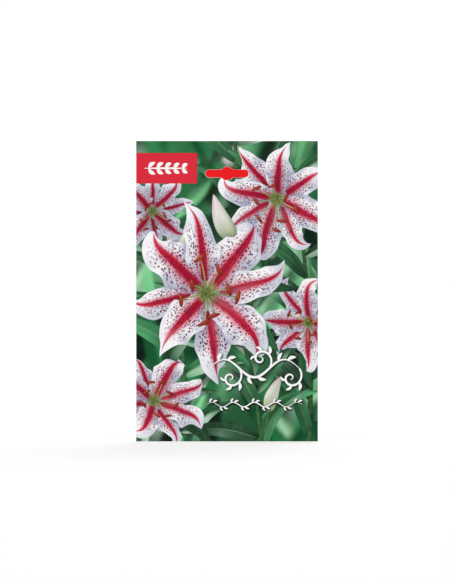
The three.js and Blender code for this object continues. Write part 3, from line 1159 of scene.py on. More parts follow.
class PACKET_OT_picture(bpy.types.Operator):
    """Make the blossoms, buds and leaves of the printed picture"""

    bl_idname = "bulb_packet.picture"
    bl_label = "Printed Picture"

    def execute(self, context):
        settings = context.scene.bulb_packet_picture
        rng = random.Random(settings.seed)
        pieces = {name: blossom_parts(Blossom(*spots), settings.petals) for name, *spots in BLOSSOMS}
        pieces["picture_leaves"] = leaf_parts(rng)
        pieces["picture_buds"] = bud_parts(rng)
        parts = [part for group in pieces.values() for part in group]
        tree, rays = shading_tree(parts), hemisphere(SHADE_RAYS)
        for part in parts:
            paint_shade(part.bm, tree, rays)
        build_up = context.scene.bulb_packet_card.build_up
        press_flat(parts, card_low.y + PRINT_FROM * build_up, card_low.y + PRINT_TO * build_up)
        stalk, filament, anther, style = (streaked_ink(name) for name in STREAKED_INKS)
        blossom_inks = (petal_ink(), filament, anther, style)
        inks = {"picture_leaves": (leaf_ink(), stalk), "picture_buds": (bud_ink(), stalk)}
        for name, group in pieces.items():
            bm = joined([part.bm for part in group], [part.ink for part in group])
            add_piece(name, bm, inks.get(name, blossom_inks), smooth=True)
        return {"FINISHED"}


# ---- the label block, the ornaments and the knock-out ----

VINES = (
    # middle, half length, swing of the stem, bays, pen, leaf, and if it has curls; all in mm
    ((20, 53.5), 33, 6.5, 3, 1.8, 7.0, True),
    ((20, 27), 35, 1.7, 9, 0.9, 3.8, False),
)
BAY_STEPS = 10
CURL_RADIUS, CURL_END, CURL_SWEEP, CURL_STEPS = 9.5, 1.1, radians(500), 28
STEM_TIP, LEAF_TIP = 0.22, 0.04  # width of a stroke's thin ends, as a share of its full width
LEAF_WIDTH = 0.36  # share of a vine's leaf's length
CURL_START = 0.25  # a curl starts this far into a stroke's swelling, where it is nearly at full width
PEN_STEP = 0.3e-6  # each stroke lies this much behind the last one, in metres
# Shares of the print's build-up: where each layer begins, and how thick it is.
SCROLL_LAYER, SPRIG_LAYER, LABEL_LAYER, SHADOW_LAYER = 0.02, 0.06, 0.12, 0.14
PEN_THICKNESS, LABEL_THICKNESS = 0.03, 0.05
SHADOW_GROWTH, SHADOW_DROP = 1.4, (0.5, -0.6)  # in mm


def stroke(points, width, tip, start, height, grow):
    """A flat pen stroke through points in mm. It swells from thin to thick to thin, from the share start."""
    rows = 6 * (len(points) - 1)
    path = curve_points([on_card(*point) for point in points], rows)

    def place(across, along):
        row = round(along * rows)
        heading = (path[min(rows, row + 1)] - path[max(0, row - 1)]).normalized()
        swelling = sin(pi * mixed(start, 1, along)) ** 1.1 if along < 1 else 0.0
        pen = width * mixed(tip, 1, swelling) + 2 * grow
        x, _, z = path[row] + Vector((heading.z, 0, -heading.x)) * ((2 * across - 1) * pen * MM / 2)
        return x, height, z

    def fade(across, along):
        return max(0.0, 1 - abs(2 * across - 1)) * min(1.0, 5 * along, 5 * (1 - along))

    return facing_front(sheet(4, rows, place, fade=fade))


def pen_drawn(strokes, height, grow=0.0, drop=(0, 0)):
    """Flat sheets for the strokes, each a little behind the one before."""
    sheets = []
    for points, *pen in strokes:
        moved = [(x + drop[0], z + drop[1]) for x, z in points]
        sheets.append(stroke(moved, *pen, height + PEN_STEP * len(sheets), grow))
    return sheets


def sprout(path, share, turn, reach, width=None):
    """A leaf's stroke: it leaves a path at share, turned from the path's heading, and bends back to it."""
    index = round(share * (len(path) - 1))
    (x1, z1), (x2, z2) = path[max(0, index - 1)], path[min(len(path) - 1, index + 1)]
    heading = atan2(z2 - z1, x2 - x1)
    x, z = path[index]
    points = [(x, z)]
    for bent in (1.0, 0.45):
        angle = heading + bent * turn
        x, z = x + reach / 2 * cos(angle), z + reach / 2 * sin(angle)
        points.append((x, z))
    return points, width or LEAF_WIDTH * reach, LEAF_TIP, 0


def curl_points(start, lean, sign):
    """Points along a spiral inwards from start, where it runs at the angle lean down from the level."""
    middle = (start[0] - CURL_RADIUS * sin(lean), start[1] - sign * CURL_RADIUS * cos(lean))
    angle = atan2(start[1] - middle[1], start[0] - middle[0])
    points = []
    for share in (i / CURL_STEPS for i in range(CURL_STEPS + 1)):
        away = CURL_RADIUS * (CURL_END / CURL_RADIUS) ** share
        turn = angle - sign * share * CURL_SWEEP
        points.append((middle[0] + away * cos(turn), middle[1] + away * sin(turn)))
    return points


def vine(middle, half, swing, bays, pen, reach, curls):
    """A vine's strokes, each with points, width, tip and start: a waving stem, leaves, a curl in each bay."""
    steps = BAY_STEPS * bays
    lean = atan(pi * bays * swing / (2 * half))
    stem = [(middle[0] + half * (2 * share - 1), middle[1] + swing * sin(pi * bays * share))
            for share in (i / steps for i in range(steps + 1))]
    strokes = [(stem, pen, STEM_TIP, 0)]
    for bay in range(bays):
        sign = (-1) ** bay
        strokes += [sprout(stem, (bay + share) / bays, sign * turn, reach)
                    for share, turn in ((0.3, 0.9), (0.6, 0.8))]
        if curls:
            curl = curl_points(stem[BAY_STEPS * (bay + 1)], lean, sign)
            strokes.append((curl, 0.9 * pen, STEM_TIP, CURL_START))
            strokes += [sprout(curl, share, 0.9 * sign, reach * (1.1 - share))
                        for share in (0.14, 0.26, 0.38)]
    return strokes


def label_sprig(left, middle):
    """The strokes of a plain sprig of paired leaves."""
    stem = [(left + 6 + 3.1 * i, middle) for i in range(11)]
    pairs = [sprout(stem, 0.1 + 0.2 * i, sign, 6.8 - 0.4 * i, 2.9) for i in range(5) for sign in (1, -1)]
    return [(stem, 1.4, STEM_TIP, 0), *pairs]


@material("Shadow ink")
def shadow_ink(graph):
    """Material: a soft dark glow that fades towards its edges."""
    return {"Base Color": paint(8, 26, 20), "Roughness": 0.6, "Specular IOR Level": 0.0,
            "Alpha": graph.attribute("fade").smooth(0.0, 1.0, 0.0, 0.42)}


class PACKET_OT_ornaments(bpy.types.Operator):
    """Make the red label block with its sprig, the white scroll and wave, and their soft shadow"""

    bl_idname = "bulb_packet.ornaments"
    bl_label = "Label and Ornaments"

    def execute(self, context):
        settings = context.scene.bulb_packet_card
        wide, high = settings.label_width, settings.label_height
        top = card_high.z - settings.label_below_top
        middle = Vector((card_low.x + wide / 2, card_low.y + LABEL_LAYER * settings.build_up, top - high / 2))

        def place(across, along):
            return middle + Vector(((across - 0.5) * wide, 0, (along - 0.5) * high))

        block = thickened(facing_front(sheet(12, 6, place)), LABEL_THICKNESS * settings.build_up)
        add_piece("label_block", block, (plain_ink("Label ink", tuple(settings.label_red)),))
        white = plain_ink("White ink", paint(250, 250, 250))
        vines = [drawn for values in VINES for drawn in vine(*values)]
        self.add_drawn("label_sprig", white, label_sprig(card_low.x / MM, middle.z / MM), SPRIG_LAYER)
        self.add_drawn("scroll_ornament", white, vines, SCROLL_LAYER)
        self.add_drawn("ornament_shadow", shadow_ink(), vines, SHADOW_LAYER, SHADOW_GROWTH, SHADOW_DROP)
        return {"FINISHED"}

    def add_drawn(self, name, ink, strokes, layer, *shadow):
        build_up = bpy.context.scene.bulb_packet_card.build_up
        sheets = pen_drawn(strokes, card_low.y + layer * build_up, *shadow)
        add_piece(name, joined([thickened(bm, PEN_THICKNESS * build_up) for bm in sheets]), (ink,))


class PACKET_OT_knockout(bpy.types.Operator):
    """Make the hanging slot's red knock-out, still held in its slot"""

    bl_idname = "bulb_packet.knockout"
    bl_label = "Slot Knock-out"

    def execute(self, context):
        bm = bmesh.new()
        bm.faces.new([bm.verts.new((x, slot_low.y, z)) for x, z in slot_outline(CUT_LINE)])
        thickened(facing_front(bm), slot_high.y - slot_low.y)
        rims = [edge for edge in bm.edges if abs(edge.verts[0].co.y - edge.verts[1].co.y) < 0.1 * MM]
        rounded(bm, rims, 0.05 * MM, 2)
        outwards(bm)
        for face in bm.faces:
            face.material_index = 0 if face.normal.y < -0.5 else 1
        inks = (plain_ink("Slot ink", tuple(context.scene.bulb_packet_card.slot_red)), bare_pulp())
        add_piece("knockout_board", bm, inks, ("slot_knockout",))
        return {"FINISHED"}


# ---- the film pouch ----

SIDE_SEAL = 5.5 * MM
TOP_SEAL = 10 * MM
SEAL_GAP = 0.35 * MM  # between the two films where they are welded
SEAL_RIM = 0.8 * MM  # over which the gap closes towards the pouch's outer edges
WELD_MARGIN = 0.3 * MM
CRIMP_PITCH, CRIMP_HEIGHT = 1.7 * MM, 0.2 * MM
BULGE_HALF = pouch_high.x - SIDE_SEAL
BULGE_DEPTH = pouch_high.y - pouch_low.y
MOUTH = pouch_high.z - TOP_SEAL
FULL_FROM, FULL_TO = 28 * MM, 42 * MM  # between these heights the film stands at its full depth
STAND_SHARE = 0.88  # of the full depth, at the flat bottom
PEAT_TOP = 52 * MM
FILM_COLUMNS, FILM_ROWS, BASE_ROWS = 130, 140, 14
SEAL_COLUMNS, SEAL_ROWS = 5, 24  # of them lie in each side seal and in the top seal
VENT_RADIUS = 2.5 * MM
VENT_ROWS = ((68 * MM, 3), (90 * MM, 2), (112 * MM, 3))
VENT_PITCH = 34 * MM


def film_depth(x, z):
    """How far the back film stands behind the front one."""
    across = max(0.0, 1 - abs(x / BULGE_HALF) ** 2.6) ** 0.62
    if z < FULL_TO:
        share = STAND_SHARE + (1 - STAND_SHARE) * smooth_step(z, 0, FULL_FROM)
    else:
        share = (1 + cos(pi * min(1.0, (z - FULL_TO) / (MOUTH - FULL_TO)) ** 0.85)) / 2
    return BULGE_DEPTH * across * share


def crease(x, z, pitch, lean, seed, sharp=2.6):
    """Crease lines about pitch apart, from 0 to 1. They run upwards, turned by lean."""
    across = (x * cos(lean) + z * sin(lean)) / pitch
    along = (z * cos(lean) - x * sin(lean)) / (3.5 * pitch)
    return max(0.0, 1 - sharp * abs(noise.noise(Vector((across, along, seed))))) ** 1.5


def slack(x, z, settings):
    """How far the back film is pressed in at this place: fine crinkles on the peat, and folds above it."""
    lying = 0.55 * crease(x, z, 9 * MM, 0.6, 1.5) + 0.4 * crease(x, z, 6 * MM, -0.8, 5.5)
    lying += 0.35 * crease(x, z, 13 * MM, 1.5, 8.5)
    free = smooth_step(z, PEAT_TOP - 2 * MM, PEAT_TOP + 18 * MM)
    lean = 0.5 * x / BULGE_HALF
    loose = 0.8 * crease(x, z, 22 * MM, lean, 2.5, 1.8) + 0.35 * crease(x, z, 12 * MM, lean - 0.5, 3.5)
    loose += 0.5 + 0.5 * noise.noise(Vector((x, z, 0)) / (30 * MM))
    depth = settings.crinkle * min(1.0, lying) + settings.folds * free * loose
    by_side = 1.5 * MM * exp(-(BULGE_HALF - abs(x)) / (9 * MM)) * (0.3 + 0.7 * free)
    depth += by_side * crease(z, abs(x), 7 * MM, 0.2, 12.5, 2)
    by_mouth = 2.2 * MM * exp(-abs(MOUTH - z) / (20 * MM)) * free
    return depth + by_mouth * crease(x, z, 7 * MM, 0, 15.5, 1.8)


def film_across(share):
    """The x of a column of film: a few columns in each side seal, the others closer together at the sides."""
    column = round(abs(2 * share - 1) * FILM_COLUMNS / 2)
    inner = FILM_COLUMNS / 2 - SEAL_COLUMNS
    if column > inner:
        x = BULGE_HALF + SIDE_SEAL * (column - inner) / SEAL_COLUMNS
    else:
        x = BULGE_HALF * sin(pi / 2 * column / inner)
    return copysign(x, share - 0.5)


def film_up(share):
    row, lower = share * FILM_ROWS, FILM_ROWS - SEAL_ROWS
    return MOUTH * row / lower if row < lower else MOUTH + TOP_SEAL * (row - lower) / SEAL_ROWS


def seal_gap(x, z):
    to_rim = min(pouch_high.x - abs(x), pouch_high.z - z)
    return SEAL_GAP * min(1.0, max(0.0, to_rim) / SEAL_RIM)


def crimp(x, z):
    """The ribs that the hot jaws leave in the top seal."""
    if z <= MOUTH:
        return 0.0
    return CRIMP_HEIGHT * (1 - cos(TAU * (z - MOUTH) / CRIMP_PITCH)) / 2 * min(1.0, seal_gap(x, z) / SEAL_GAP)


def film_sheets(settings):
    """The front film, the back film and the flat bottom, welded along their rims."""

    def back_depth(x, z):
        gap = seal_gap(x, z) + crimp(x, z)
        depth = film_depth(x, z)
        if depth <= 0:
            return gap
        pressed = min(slack(x, z, settings), 0.4 * depth) * smooth_step(z, 0, 4 * MM)
        return max(gap, depth - pressed)

    def upright(depth_at):
        def place(across, along):
            x, z = film_across(across), film_up(along)
            return x, pouch_low.y + depth_at(x, z), z

        return sheet(FILM_COLUMNS, FILM_ROWS, place)

    def base(across, along):
        x = film_across(across)
        depth = back_depth(x, 0)
        inner = min(1.0, 4 * along, 4 * (1 - along)) * min(1.0, depth / (4 * MM))
        dent = 0.8 * MM * inner * (crease(x, along * depth, 8 * MM, 0.9, 20.5) + 0.25)
        return x, pouch_low.y + depth * along, dent

    return [upright(crimp), punched(upright(back_depth)), sheet(FILM_COLUMNS, BASE_ROWS, base)]


def punched(bm):
    """Opens the round vents: takes out the faces inside each circle and draws the rim onto it."""
    for z, vents in VENT_ROWS:
        for i in range(vents):
            x = (i - (vents - 1) / 2) * VENT_PITCH
            faces = [face for face in bm.faces if away_from(face.calc_center_median(), x, z) < VENT_RADIUS]
            bmesh.ops.delete(bm, geom=faces, context="FACES")
            for vert in bm.verts:
                away = away_from(vert.co, x, z)
                if vert.is_boundary and away < 2 * VENT_RADIUS:
                    vert.co.x = x + (vert.co.x - x) * VENT_RADIUS / away
                    vert.co.z = z + (vert.co.z - z) * VENT_RADIUS / away
    return bm


def away_from(point, x, z):
    return hypot(point.x - x, point.z - z)


@material("Clear film")
def clear_film(graph):
    """Material: clear glossy film, frosted along its crimped welds. Much light passes it straight."""
    place, weld = graph.place(), graph.attribute("weld")
    path = graph.add("ShaderNodeLightPath", output="Is Shadow Ray")
    passing = path.math("ADD", path["Is Diffuse Ray"], clamp=True)
    ribs = (graph.axis(place, "Z") * (TAU / CRIMP_PITCH)).math("SINE")
    tint = tuple(bpy.context.scene.bulb_packet_pouch.film_tint)
    return {"Base Color": graph.mix(weld, (1.0, 1.0, 1.0), tint), "IOR": 1.4, "Transmission Weight": 1.0,
            "Roughness": place.noise(45, 3).smooth(0.3, 0.7, 0.012, 0.04) + weld * 0.25,
            "Alpha": weld.smooth(0.0, 1.0, 0.5, 0.7) * (1.0 - passing * 0.85),
            "Normal": (ribs * weld).bump(0.35, 0.08 * MM)}


class PACKET_OT_pouch(bpy.types.Operator):
    """Make the clear film pouch with its welds, vents, creases and folds"""

    bl_idname = "bulb_packet.pouch"
    bl_label = "Film Pouch"

    def execute(self, context):
        settings = context.scene.bulb_packet_pouch
        bm = joined(film_sheets(settings))
        bmesh.ops.remove_doubles(bm, verts=bm.verts[:], dist=0.01 * MM)
        bmesh.ops.dissolve_degenerate(bm, edges=bm.edges[:], dist=0.005 * MM)
        outwards(bm)
        weld = bm.verts.layers.float.new("weld")
        for vert in bm.verts:
            sealed = abs(vert.co.x) > BULGE_HALF + WELD_MARGIN or vert.co.z > MOUTH + WELD_MARGIN
            vert[weld] = 1.0 if sealed else 0.0
        film = add_piece("clear_pouch", bm, (clear_film(),), ("film_pouch",), smooth=True)
        wall = film.modifiers.new("Film gauge", "SOLIDIFY")
        wall.thickness = settings.gauge
        wall.offset = -1
        return {"FINISHED"}


# ---- the glue ----


@material("Dried glue")
def hot_glue(graph):
    """Material: dried hot-melt glue, slightly yellow, with bubbles."""
    place = graph.place()
    thick, bubbles = place.noise(120, 3), place.cells(700)
    tone = graph.layered(
        paint(240, 234, 206),
        (thick.smooth(0.3, 0.7), paint(222, 208, 160)),
        (bubbles.smooth(0.25, 0.1, 0.0, 0.5), paint(250, 248, 238)))
    return {"Base Color": tone, "Roughness": 0.3, "Coat Weight": 0.2,
            "Alpha": thick.smooth(0.3, 0.7, 0.72, 0.95), "Normal": (thick + bubbles).bump(0.6, 0.2 * MM)}


class PACKET_OT_glue(bpy.types.Operator):
    """Make the two strips of glue between the card and the pouch"""

    bl_idname = "bulb_packet.glue"
    bl_label = "Glue Strips"

    def execute(self, context):
        for number, node in enumerate(("glue_strip_lower", "glue_strip_upper")):
            low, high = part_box(node)
            size, middle = high - low, (low + high) / 2

            def place(across, along):
                x = low.x + across * size.x
                wander = noise.noise(Vector((x / (9 * MM), 2 * along + 5 * number, number)))
                ends = min(1.0, 14 * min(across, 1 - across) + 0.35) ** 0.5
                half = size.z / 2 * (0.80 + 0.19 * wander) * ends
                return x, low.y + 0.02 * MM, middle.z + (2 * along - 1) * half

            strip = thickened(facing_front(sheet(120, 6, place)), 0.8 * size.y)
            add_piece("dried_glue_" + ("lower", "upper")[number], strip, (hot_glue(),), (node,))
        return {"FINISHED"}


# ---- the bulb ----

BULB_RADIUS = 21.5 * MM
BULB_HEIGHT = 41 * MM
BULB_LEAN = radians(8)
BULB_SEAT = Vector((0, pouch_low.y + BULGE_DEPTH / 2 + 1.6 * MM, 16.5 * MM))
CORE_SIZE = 0.86  # of the bulb, within the scales
SCALE_HALF_WIDTH = 11.5 * MM
SCALE_HALF_THICKNESS = 1.25 * MM
ROOTS, ROOT_RADIUS, ROOT_REACH = 12, 1.1 * MM, 12 * MM
# Along a root: how far from the axis in mm, its turn round it, and how far down, as a share of its reach.
ROOT_BENDS = ((4.5, 0, 0), (7.5, 0.05, 0.3), (10.5, 0.25, 0.65), (13.5, 0.3, 1))


def globe(share, size):
    """Radius and height on the bulb's globe: share runs from the basal plate (0) to the nose (1)."""
    turn = pi * share
    belly = max(0.0, sin(turn)) ** 0.8 * (1 + 0.3 * cos(turn)) ** 0.7
    return BULB_RADIUS * size * belly, BULB_HEIGHT * (1 - cos(turn)) / 2


def bulb_scale(rank, azimuth, rng):
    """One fleshy scale. rank runs from 0, the outermost and shortest, to 1, the last one round the nose."""
    tip = mixed(0.6, 0.97, rank ** 0.8)
    size = mixed(1, 0.9, rank)
    half_width = mixed(1, 0.5, rank) * SCALE_HALF_WIDTH
    flare = mixed(1.6, 0.5, rank) * MM
    seed = rng.uniform(0, 40)
    bm = bmesh.new()
    bmesh.ops.create_uvsphere(bm, u_segments=28, v_segments=24, radius=1)
    layers = [bm.verts.layers.float.new(name) for name in ("along", "across", "rank", "seed")]
    for vert in bm.verts:
        pole = max(-1.0, min(1.0, vert.co.z))
        girth = sqrt(max(0.0, 1 - pole * pole))
        across, through = (part / girth if girth > 1e-6 else 0.0 for part in vert.co.xy)
        along = (pole + 1) / 2
        blade = max(0.0, sin(pi * along ** 0.8)) ** 0.75
        radius, height = globe(mixed(0.07, tip, along), size)
        wavy = noise.noise(Vector((3 * across, 4 * along, seed)))
        ribs = noise.noise(Vector((14 * across, 1.5 * along, seed + 9)))
        lift = flare * along ** 3 - 0.9 * MM * across * across * blade
        away = radius + lift + through * SCALE_HALF_THICKNESS * sqrt(blade)
        away += (0.30 * wavy + 0.07 * ribs) * MM * blade * (1 if through > 0 else 0.3)
        turn = azimuth + across * half_width * blade * (1 + 0.06 * wavy) / max(radius, 4 * MM)
        vert.co = (away * cos(turn), away * sin(turn), height)
        for layer, value in zip(layers, (along, across, rank, seed)):
            vert[layer] = value
    return outwards(bm, 0.005 * MM)


def bulb_core():
    """The flesh behind the scales."""
    bm = bmesh.new()
    bmesh.ops.create_uvsphere(bm, u_segments=32, v_segments=24, radius=1)
    for vert in bm.verts:
        radius, height = globe(acos(max(-1.0, min(1.0, -vert.co.z))) / pi, CORE_SIZE)
        turn = atan2(vert.co.y, vert.co.x)
        vert.co = (radius * cos(turn), radius * sin(turn), height)
    return outwards(bm, 0.005 * MM)


def basal_plate():
    bm = bmesh.new()
    bmesh.ops.create_cone(bm, cap_ends=True, segments=40, radius1=6 * MM, radius2=7.5 * MM, depth=4 * MM)
    rounded(bm, bm.edges[:], 0.8 * MM, 3)
    for vert in bm.verts:
        vert.co *= 1 + 0.08 * noise.noise(vert.co / (2.5 * MM))
    return bm


def bulb_root(index):
    """One trimmed root, from the rim of the basal plate down into the peat, with rings of wrinkles."""
    reach = ROOT_REACH * (0.72 + 0.28 * cos(index * 2.4))
    controls = []
    for radius, turn, down in ROOT_BENDS:
        angle = index * GOLDEN_ANGLE + turn
        controls.append(Vector((radius * MM * cos(angle), radius * MM * sin(angle), -down * reach)))

    def radius_at(share):
        return ROOT_RADIUS * (1 - 0.25 * share) * (1 + 0.08 * sin(95 * share + index))

    return tube(curve_points(controls, 28), radius_at, 10)


@material("Bulb scales")
def scale_flesh(graph):
    """Material: waxy cream scales with blushed tips, fine lengthwise veins, bruised rims and rusty spots."""
    colours = bpy.context.scene.bulb_packet_bulb
    along, across, rank, seed = (graph.attribute(name) for name in ("along", "across", "rank", "seed"))
    flat = graph.add("ShaderNodeCombineXYZ", {"X": across, "Y": along, "Z": seed})
    place = graph.place()
    veins = flat.stretched(16, 1.4, 1).noise(1.0, 3, 0.6)
    cloud = place.noise(220, 3)
    tipward = along + (cloud - 0.5) * 0.35
    dirt = place.noise(130, 4, 0.65).smooth(0.54, 0.66, 0.0, 0.55)
    tone = graph.layered(
        tuple(colours.flesh),
        (veins.smooth(0.35, 0.7, 0.0, 0.45), paint(214, 190, 138)),
        (tipward.smooth(0.55, 0.98) * rank.smooth(0.0, 1.0, 0.85, 0.45), tuple(colours.blush)),
        (across.math("ABSOLUTE").smooth(0.80, 1.0) * cloud.smooth(0.42, 0.62, 0.1, 0.8), paint(132, 88, 48)),
        (place.cells(420).smooth(0.26, 0.12) * cloud.smooth(0.48, 0.6, 0.0, 0.8), paint(120, 72, 38)),
        (dirt, paint(92, 66, 44)))
    return {"Base Color": tone, "Roughness": dirt.smooth(0.0, 0.6, 0.42, 0.85), "Specular IOR Level": 0.35,
            "Subsurface Weight": 0.12, "Subsurface Scale": 1.5 * MM,
            "Normal": (veins + dirt * 0.8).bump(0.45, 0.25 * MM)}


@material("Root skin")
def root_skin(graph):
    """Material: pale brown root skin, darker in its wrinkles and where peat clings to it."""
    grain = graph.place().noise(380, 4, 0.65)
    tone = graph.layered(
        paint(206, 172, 122),
        (grain.smooth(0.3, 0.7), paint(150, 108, 68)),
        (graph.place().noise(150, 3).smooth(0.5, 0.62, 0.0, 0.8), paint(70, 48, 34)))
    return {"Base Color": tone, "Roughness": 0.75, "Normal": grain.bump(0.6, 0.3 * MM)}


class PACKET_OT_bulb(bpy.types.Operator):
    """Make the lily bulb: its scales in a spiral, its basal plate and its trimmed roots"""

    bl_idname = "bulb_packet.bulb"
    bl_label = "Lily Bulb"

    def execute(self, context):
        settings = context.scene.bulb_packet_bulb
        rng = random.Random(settings.seed)
        last = settings.scales - 1
        flesh = [bulb_core(), *(bulb_scale(i / last, i * GOLDEN_ANGLE, rng) for i in range(last + 1))]
        skin = [basal_plate(), *(bulb_root(i) for i in range(ROOTS))]
        bm = joined(flesh + skin, [0] * len(flesh) + [1] * len(skin))
        stand = Matrix.Translation(BULB_SEAT) @ Matrix.Rotation(BULB_LEAN, 4, "X")
        bmesh.ops.transform(bm, matrix=stand, verts=bm.verts[:])
        add_piece("scaly_bulb", bm, (scale_flesh(), root_skin()), ("lily_bulb",), smooth=True)
        return {"FINISHED"}


# ---- the peat ----

PEAT_FOOT = 0.95 * MM
FILM_CLEARANCE = 0.45 * MM
TOP_NORMAL = 0.3  # how far upwards a normal points, at least, on top of the heap
# Covers where the bulb and its roots all but touch the film: width, height, how far before the back, how high
# up, and lean.
COVERS = ((17, 17, 1.95, BULB_SEAT.z + 0.42 * BULB_HEIGHT, 0), (13, 7, 7.1, 6.2 * MM, -12))
COVER_THICKNESS = 1.7  # as the first three of them, in mm


def closed_peat():
    """The solid peat's shape as a closed bmesh, with its thin places closed over the bulb."""
    bm = bmesh.new()
    bm.from_mesh(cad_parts["packing_peat"].data)
    bmesh.ops.remove_doubles(bm, verts=bm.verts[:], dist=0.001 * MM)
    for across, high, depth, height, lean in COVERS:
        middle = Vector((0, pouch_low.y + BULGE_DEPTH - depth * MM, height))
        turn = Matrix.Rotation(radians(lean), 3, "X").to_quaternion()
        size = Vector((across, COVER_THICKNESS, high)) * MM
        bmesh.ops.create_cube(bm, size=1, matrix=Matrix.LocRotScale(middle, turn, size))
    return bm


def remeshed(bm, voxel):
    """A closed bmesh with its surface in even small faces."""
    rough = placed("rough", meshed("rough", bm))
    even = rough.modifiers.new("Even faces", "REMESH")
    even.mode = "VOXEL"
    even.voxel_size = voxel
    fine = bmesh.new()
    fine.from_object(rough, bpy.context.evaluated_depsgraph_get())
    bpy.data.meshes.remove(rough.data)
    return fine


def roughened(bm):
    """Makes the peat's surface crumbly. It grows out by a little at most, to stay behind the film."""
    bm.normal_update()
    moved = []
    for vert in bm.verts:
        place = vert.co / MM
        lumps = noise.fractal(0.16 * place, 0.8, 2.1, 4)
        crumbs = noise.cell(0.55 * place + noise.noise_vector(0.3 * place))
        top = smooth_step(vert.normal.z, 0.4, 0.8) * smooth_step(vert.co.z, 38 * MM, 44 * MM)
        out = (0.7 + 1.3 * top) * lumps + (0.35 + 0.5 * top) * (crumbs - 0.6) - 0.35 + 0.4 * top
        moved.append(vert.co + vert.normal * min(0.25 + 1.6 * top, out) * MM)
    for vert, co in zip(bm.verts, moved):
        vert.co = (co.x, co.y, max(co.z, PEAT_FOOT))
    bm.normal_update()
    return bm


def scattered(bm, number, rng, sticks_out):
    """Random places on a surface, more of them on top, each with its normal. On top they stick out."""
    faces = bm.faces[:]
    weights = []
    for face in faces:
        upper = face.normal.z > TOP_NORMAL and face.calc_center_median().z > 36 * MM
        weights.append(face.calc_area() * (3 if upper else 1))
    places = []
    for face in rng.choices(faces, weights, k=number):
        normal = face.normal.copy()
        out = sticks_out if normal.z > TOP_NORMAL else 0
        places.append((face.calc_center_median() + normal * out, normal))
    return places


def peat_crumb(bm, place, normal, rng):
    """One loose crumb: a small faceted lump, half sunk into the surface that it lies on."""
    on_top = normal.z > TOP_NORMAL
    size = rng.uniform(0.4, 1.0) * MM * (1.5 if on_top else 0.75)
    place = place if on_top else place - normal * 0.35 * size
    turn = normal.to_track_quat("Z", "Y").to_matrix().to_4x4()
    squash = Matrix.Diagonal((rng.uniform(0.7, 1.3), rng.uniform(0.7, 1.3), rng.uniform(0.45, 0.8), 1))
    matrix = Matrix.Translation(place) @ turn @ Matrix.Rotation(rng.uniform(0, TAU), 4, "Z") @ squash
    made = bmesh.ops.create_icosphere(bm, subdivisions=1, radius=size, matrix=matrix)
    for vert in made["verts"]:
        vert.co += noise.noise_vector(vert.co / (1.1 * MM)) * 0.35 * size


def peat_fibre(place, normal, rng):
    """One thin plant fibre that lies bent on the peat."""
    heading = normal.orthogonal()
    heading.rotate(Matrix.Rotation(rng.uniform(0, TAU), 3, normal))
    aside = normal.cross(heading)
    reach = rng.uniform(4, 11) * MM
    bow = rng.uniform(-0.3, 0.3) * reach
    controls = []
    for share in (i / 3 - 0.5 for i in range(4)):
        lift = 0.35 * MM + 0.4 * MM * rng.random() if normal.z > TOP_NORMAL else 0.15 * MM
        bent = aside * bow * (0.25 - share * share) * 4
        controls.append(place + heading * share * reach + bent + normal * lift)
    thick = rng.uniform(0.09, 0.24) * MM
    return tube(curve_points(controls, 5), lambda share: thick * (1.1 - 0.6 * share), 4)


def eased(value, low, high):
    """Holds a value between two bounds, but for a small share of what it passes them by."""
    return mixed(max(low, min(high, value)), value, 0.04)


def keep_behind_film(bm, pouch):
    """Draws in every point that would touch the film. What it presses flat keeps a little thickness."""
    for vert in bm.verts:
        across = eased(vert.co.x, FILM_CLEARANCE - BULGE_HALF, BULGE_HALF - FILM_CLEARANCE)
        room = film_depth(across, vert.co.z) - slack(across, vert.co.z, pouch) - FILM_CLEARANCE
        deep = eased(vert.co.y, pouch_low.y + FILM_CLEARANCE, pouch_low.y + room)
        vert.co = (across, deep, eased(vert.co.z, PEAT_FOOT, pouch_high.z))


@material("Moist peat")
def moist_peat(graph):
    """Material: dark moist peat, with rusty and blackish crumbs."""
    brown = Vector(bpy.context.scene.bulb_packet_peat.peat_brown)
    place = graph.place()
    coarse, fine, cells = place.noise(180, 4, 0.6), place.noise(900, 3, 0.6), place.cells(520)
    draw = graph.axis(cells["Color"], "X")
    tone = graph.layered(
        tuple(brown * 0.35),
        (coarse.smooth(0.32, 0.68), tuple(brown * 1.25)),
        (draw.smooth(0.55, 0.9, 0.0, 0.6), paint(112, 74, 44)),
        (draw["Y"].smooth(0.86, 0.93, 0.0, 0.7), paint(156, 118, 78)),
        (fine.smooth(0.5, 0.7, 0.0, 0.5), paint(24, 16, 12)))
    return {"Base Color": tone, "Roughness": coarse.smooth(0.3, 0.7, 0.62, 0.95), "Specular IOR Level": 0.3,
            "Normal": (fine + cells * 0.8).bump(0.9, 0.5 * MM)}


@material("Dry fibre")
def dry_fibre(graph):
    """Material: straw-coloured to brown plant fibres."""
    tone = graph.layered(
        paint(176, 138, 88),
        (graph.place().noise(120).smooth(0.35, 0.65), paint(96, 66, 40)),
        (graph.place().noise(1500).smooth(0.4, 0.7, 0.0, 0.4), paint(60, 42, 28)))
    return {"Base Color": tone, "Roughness": 0.8}


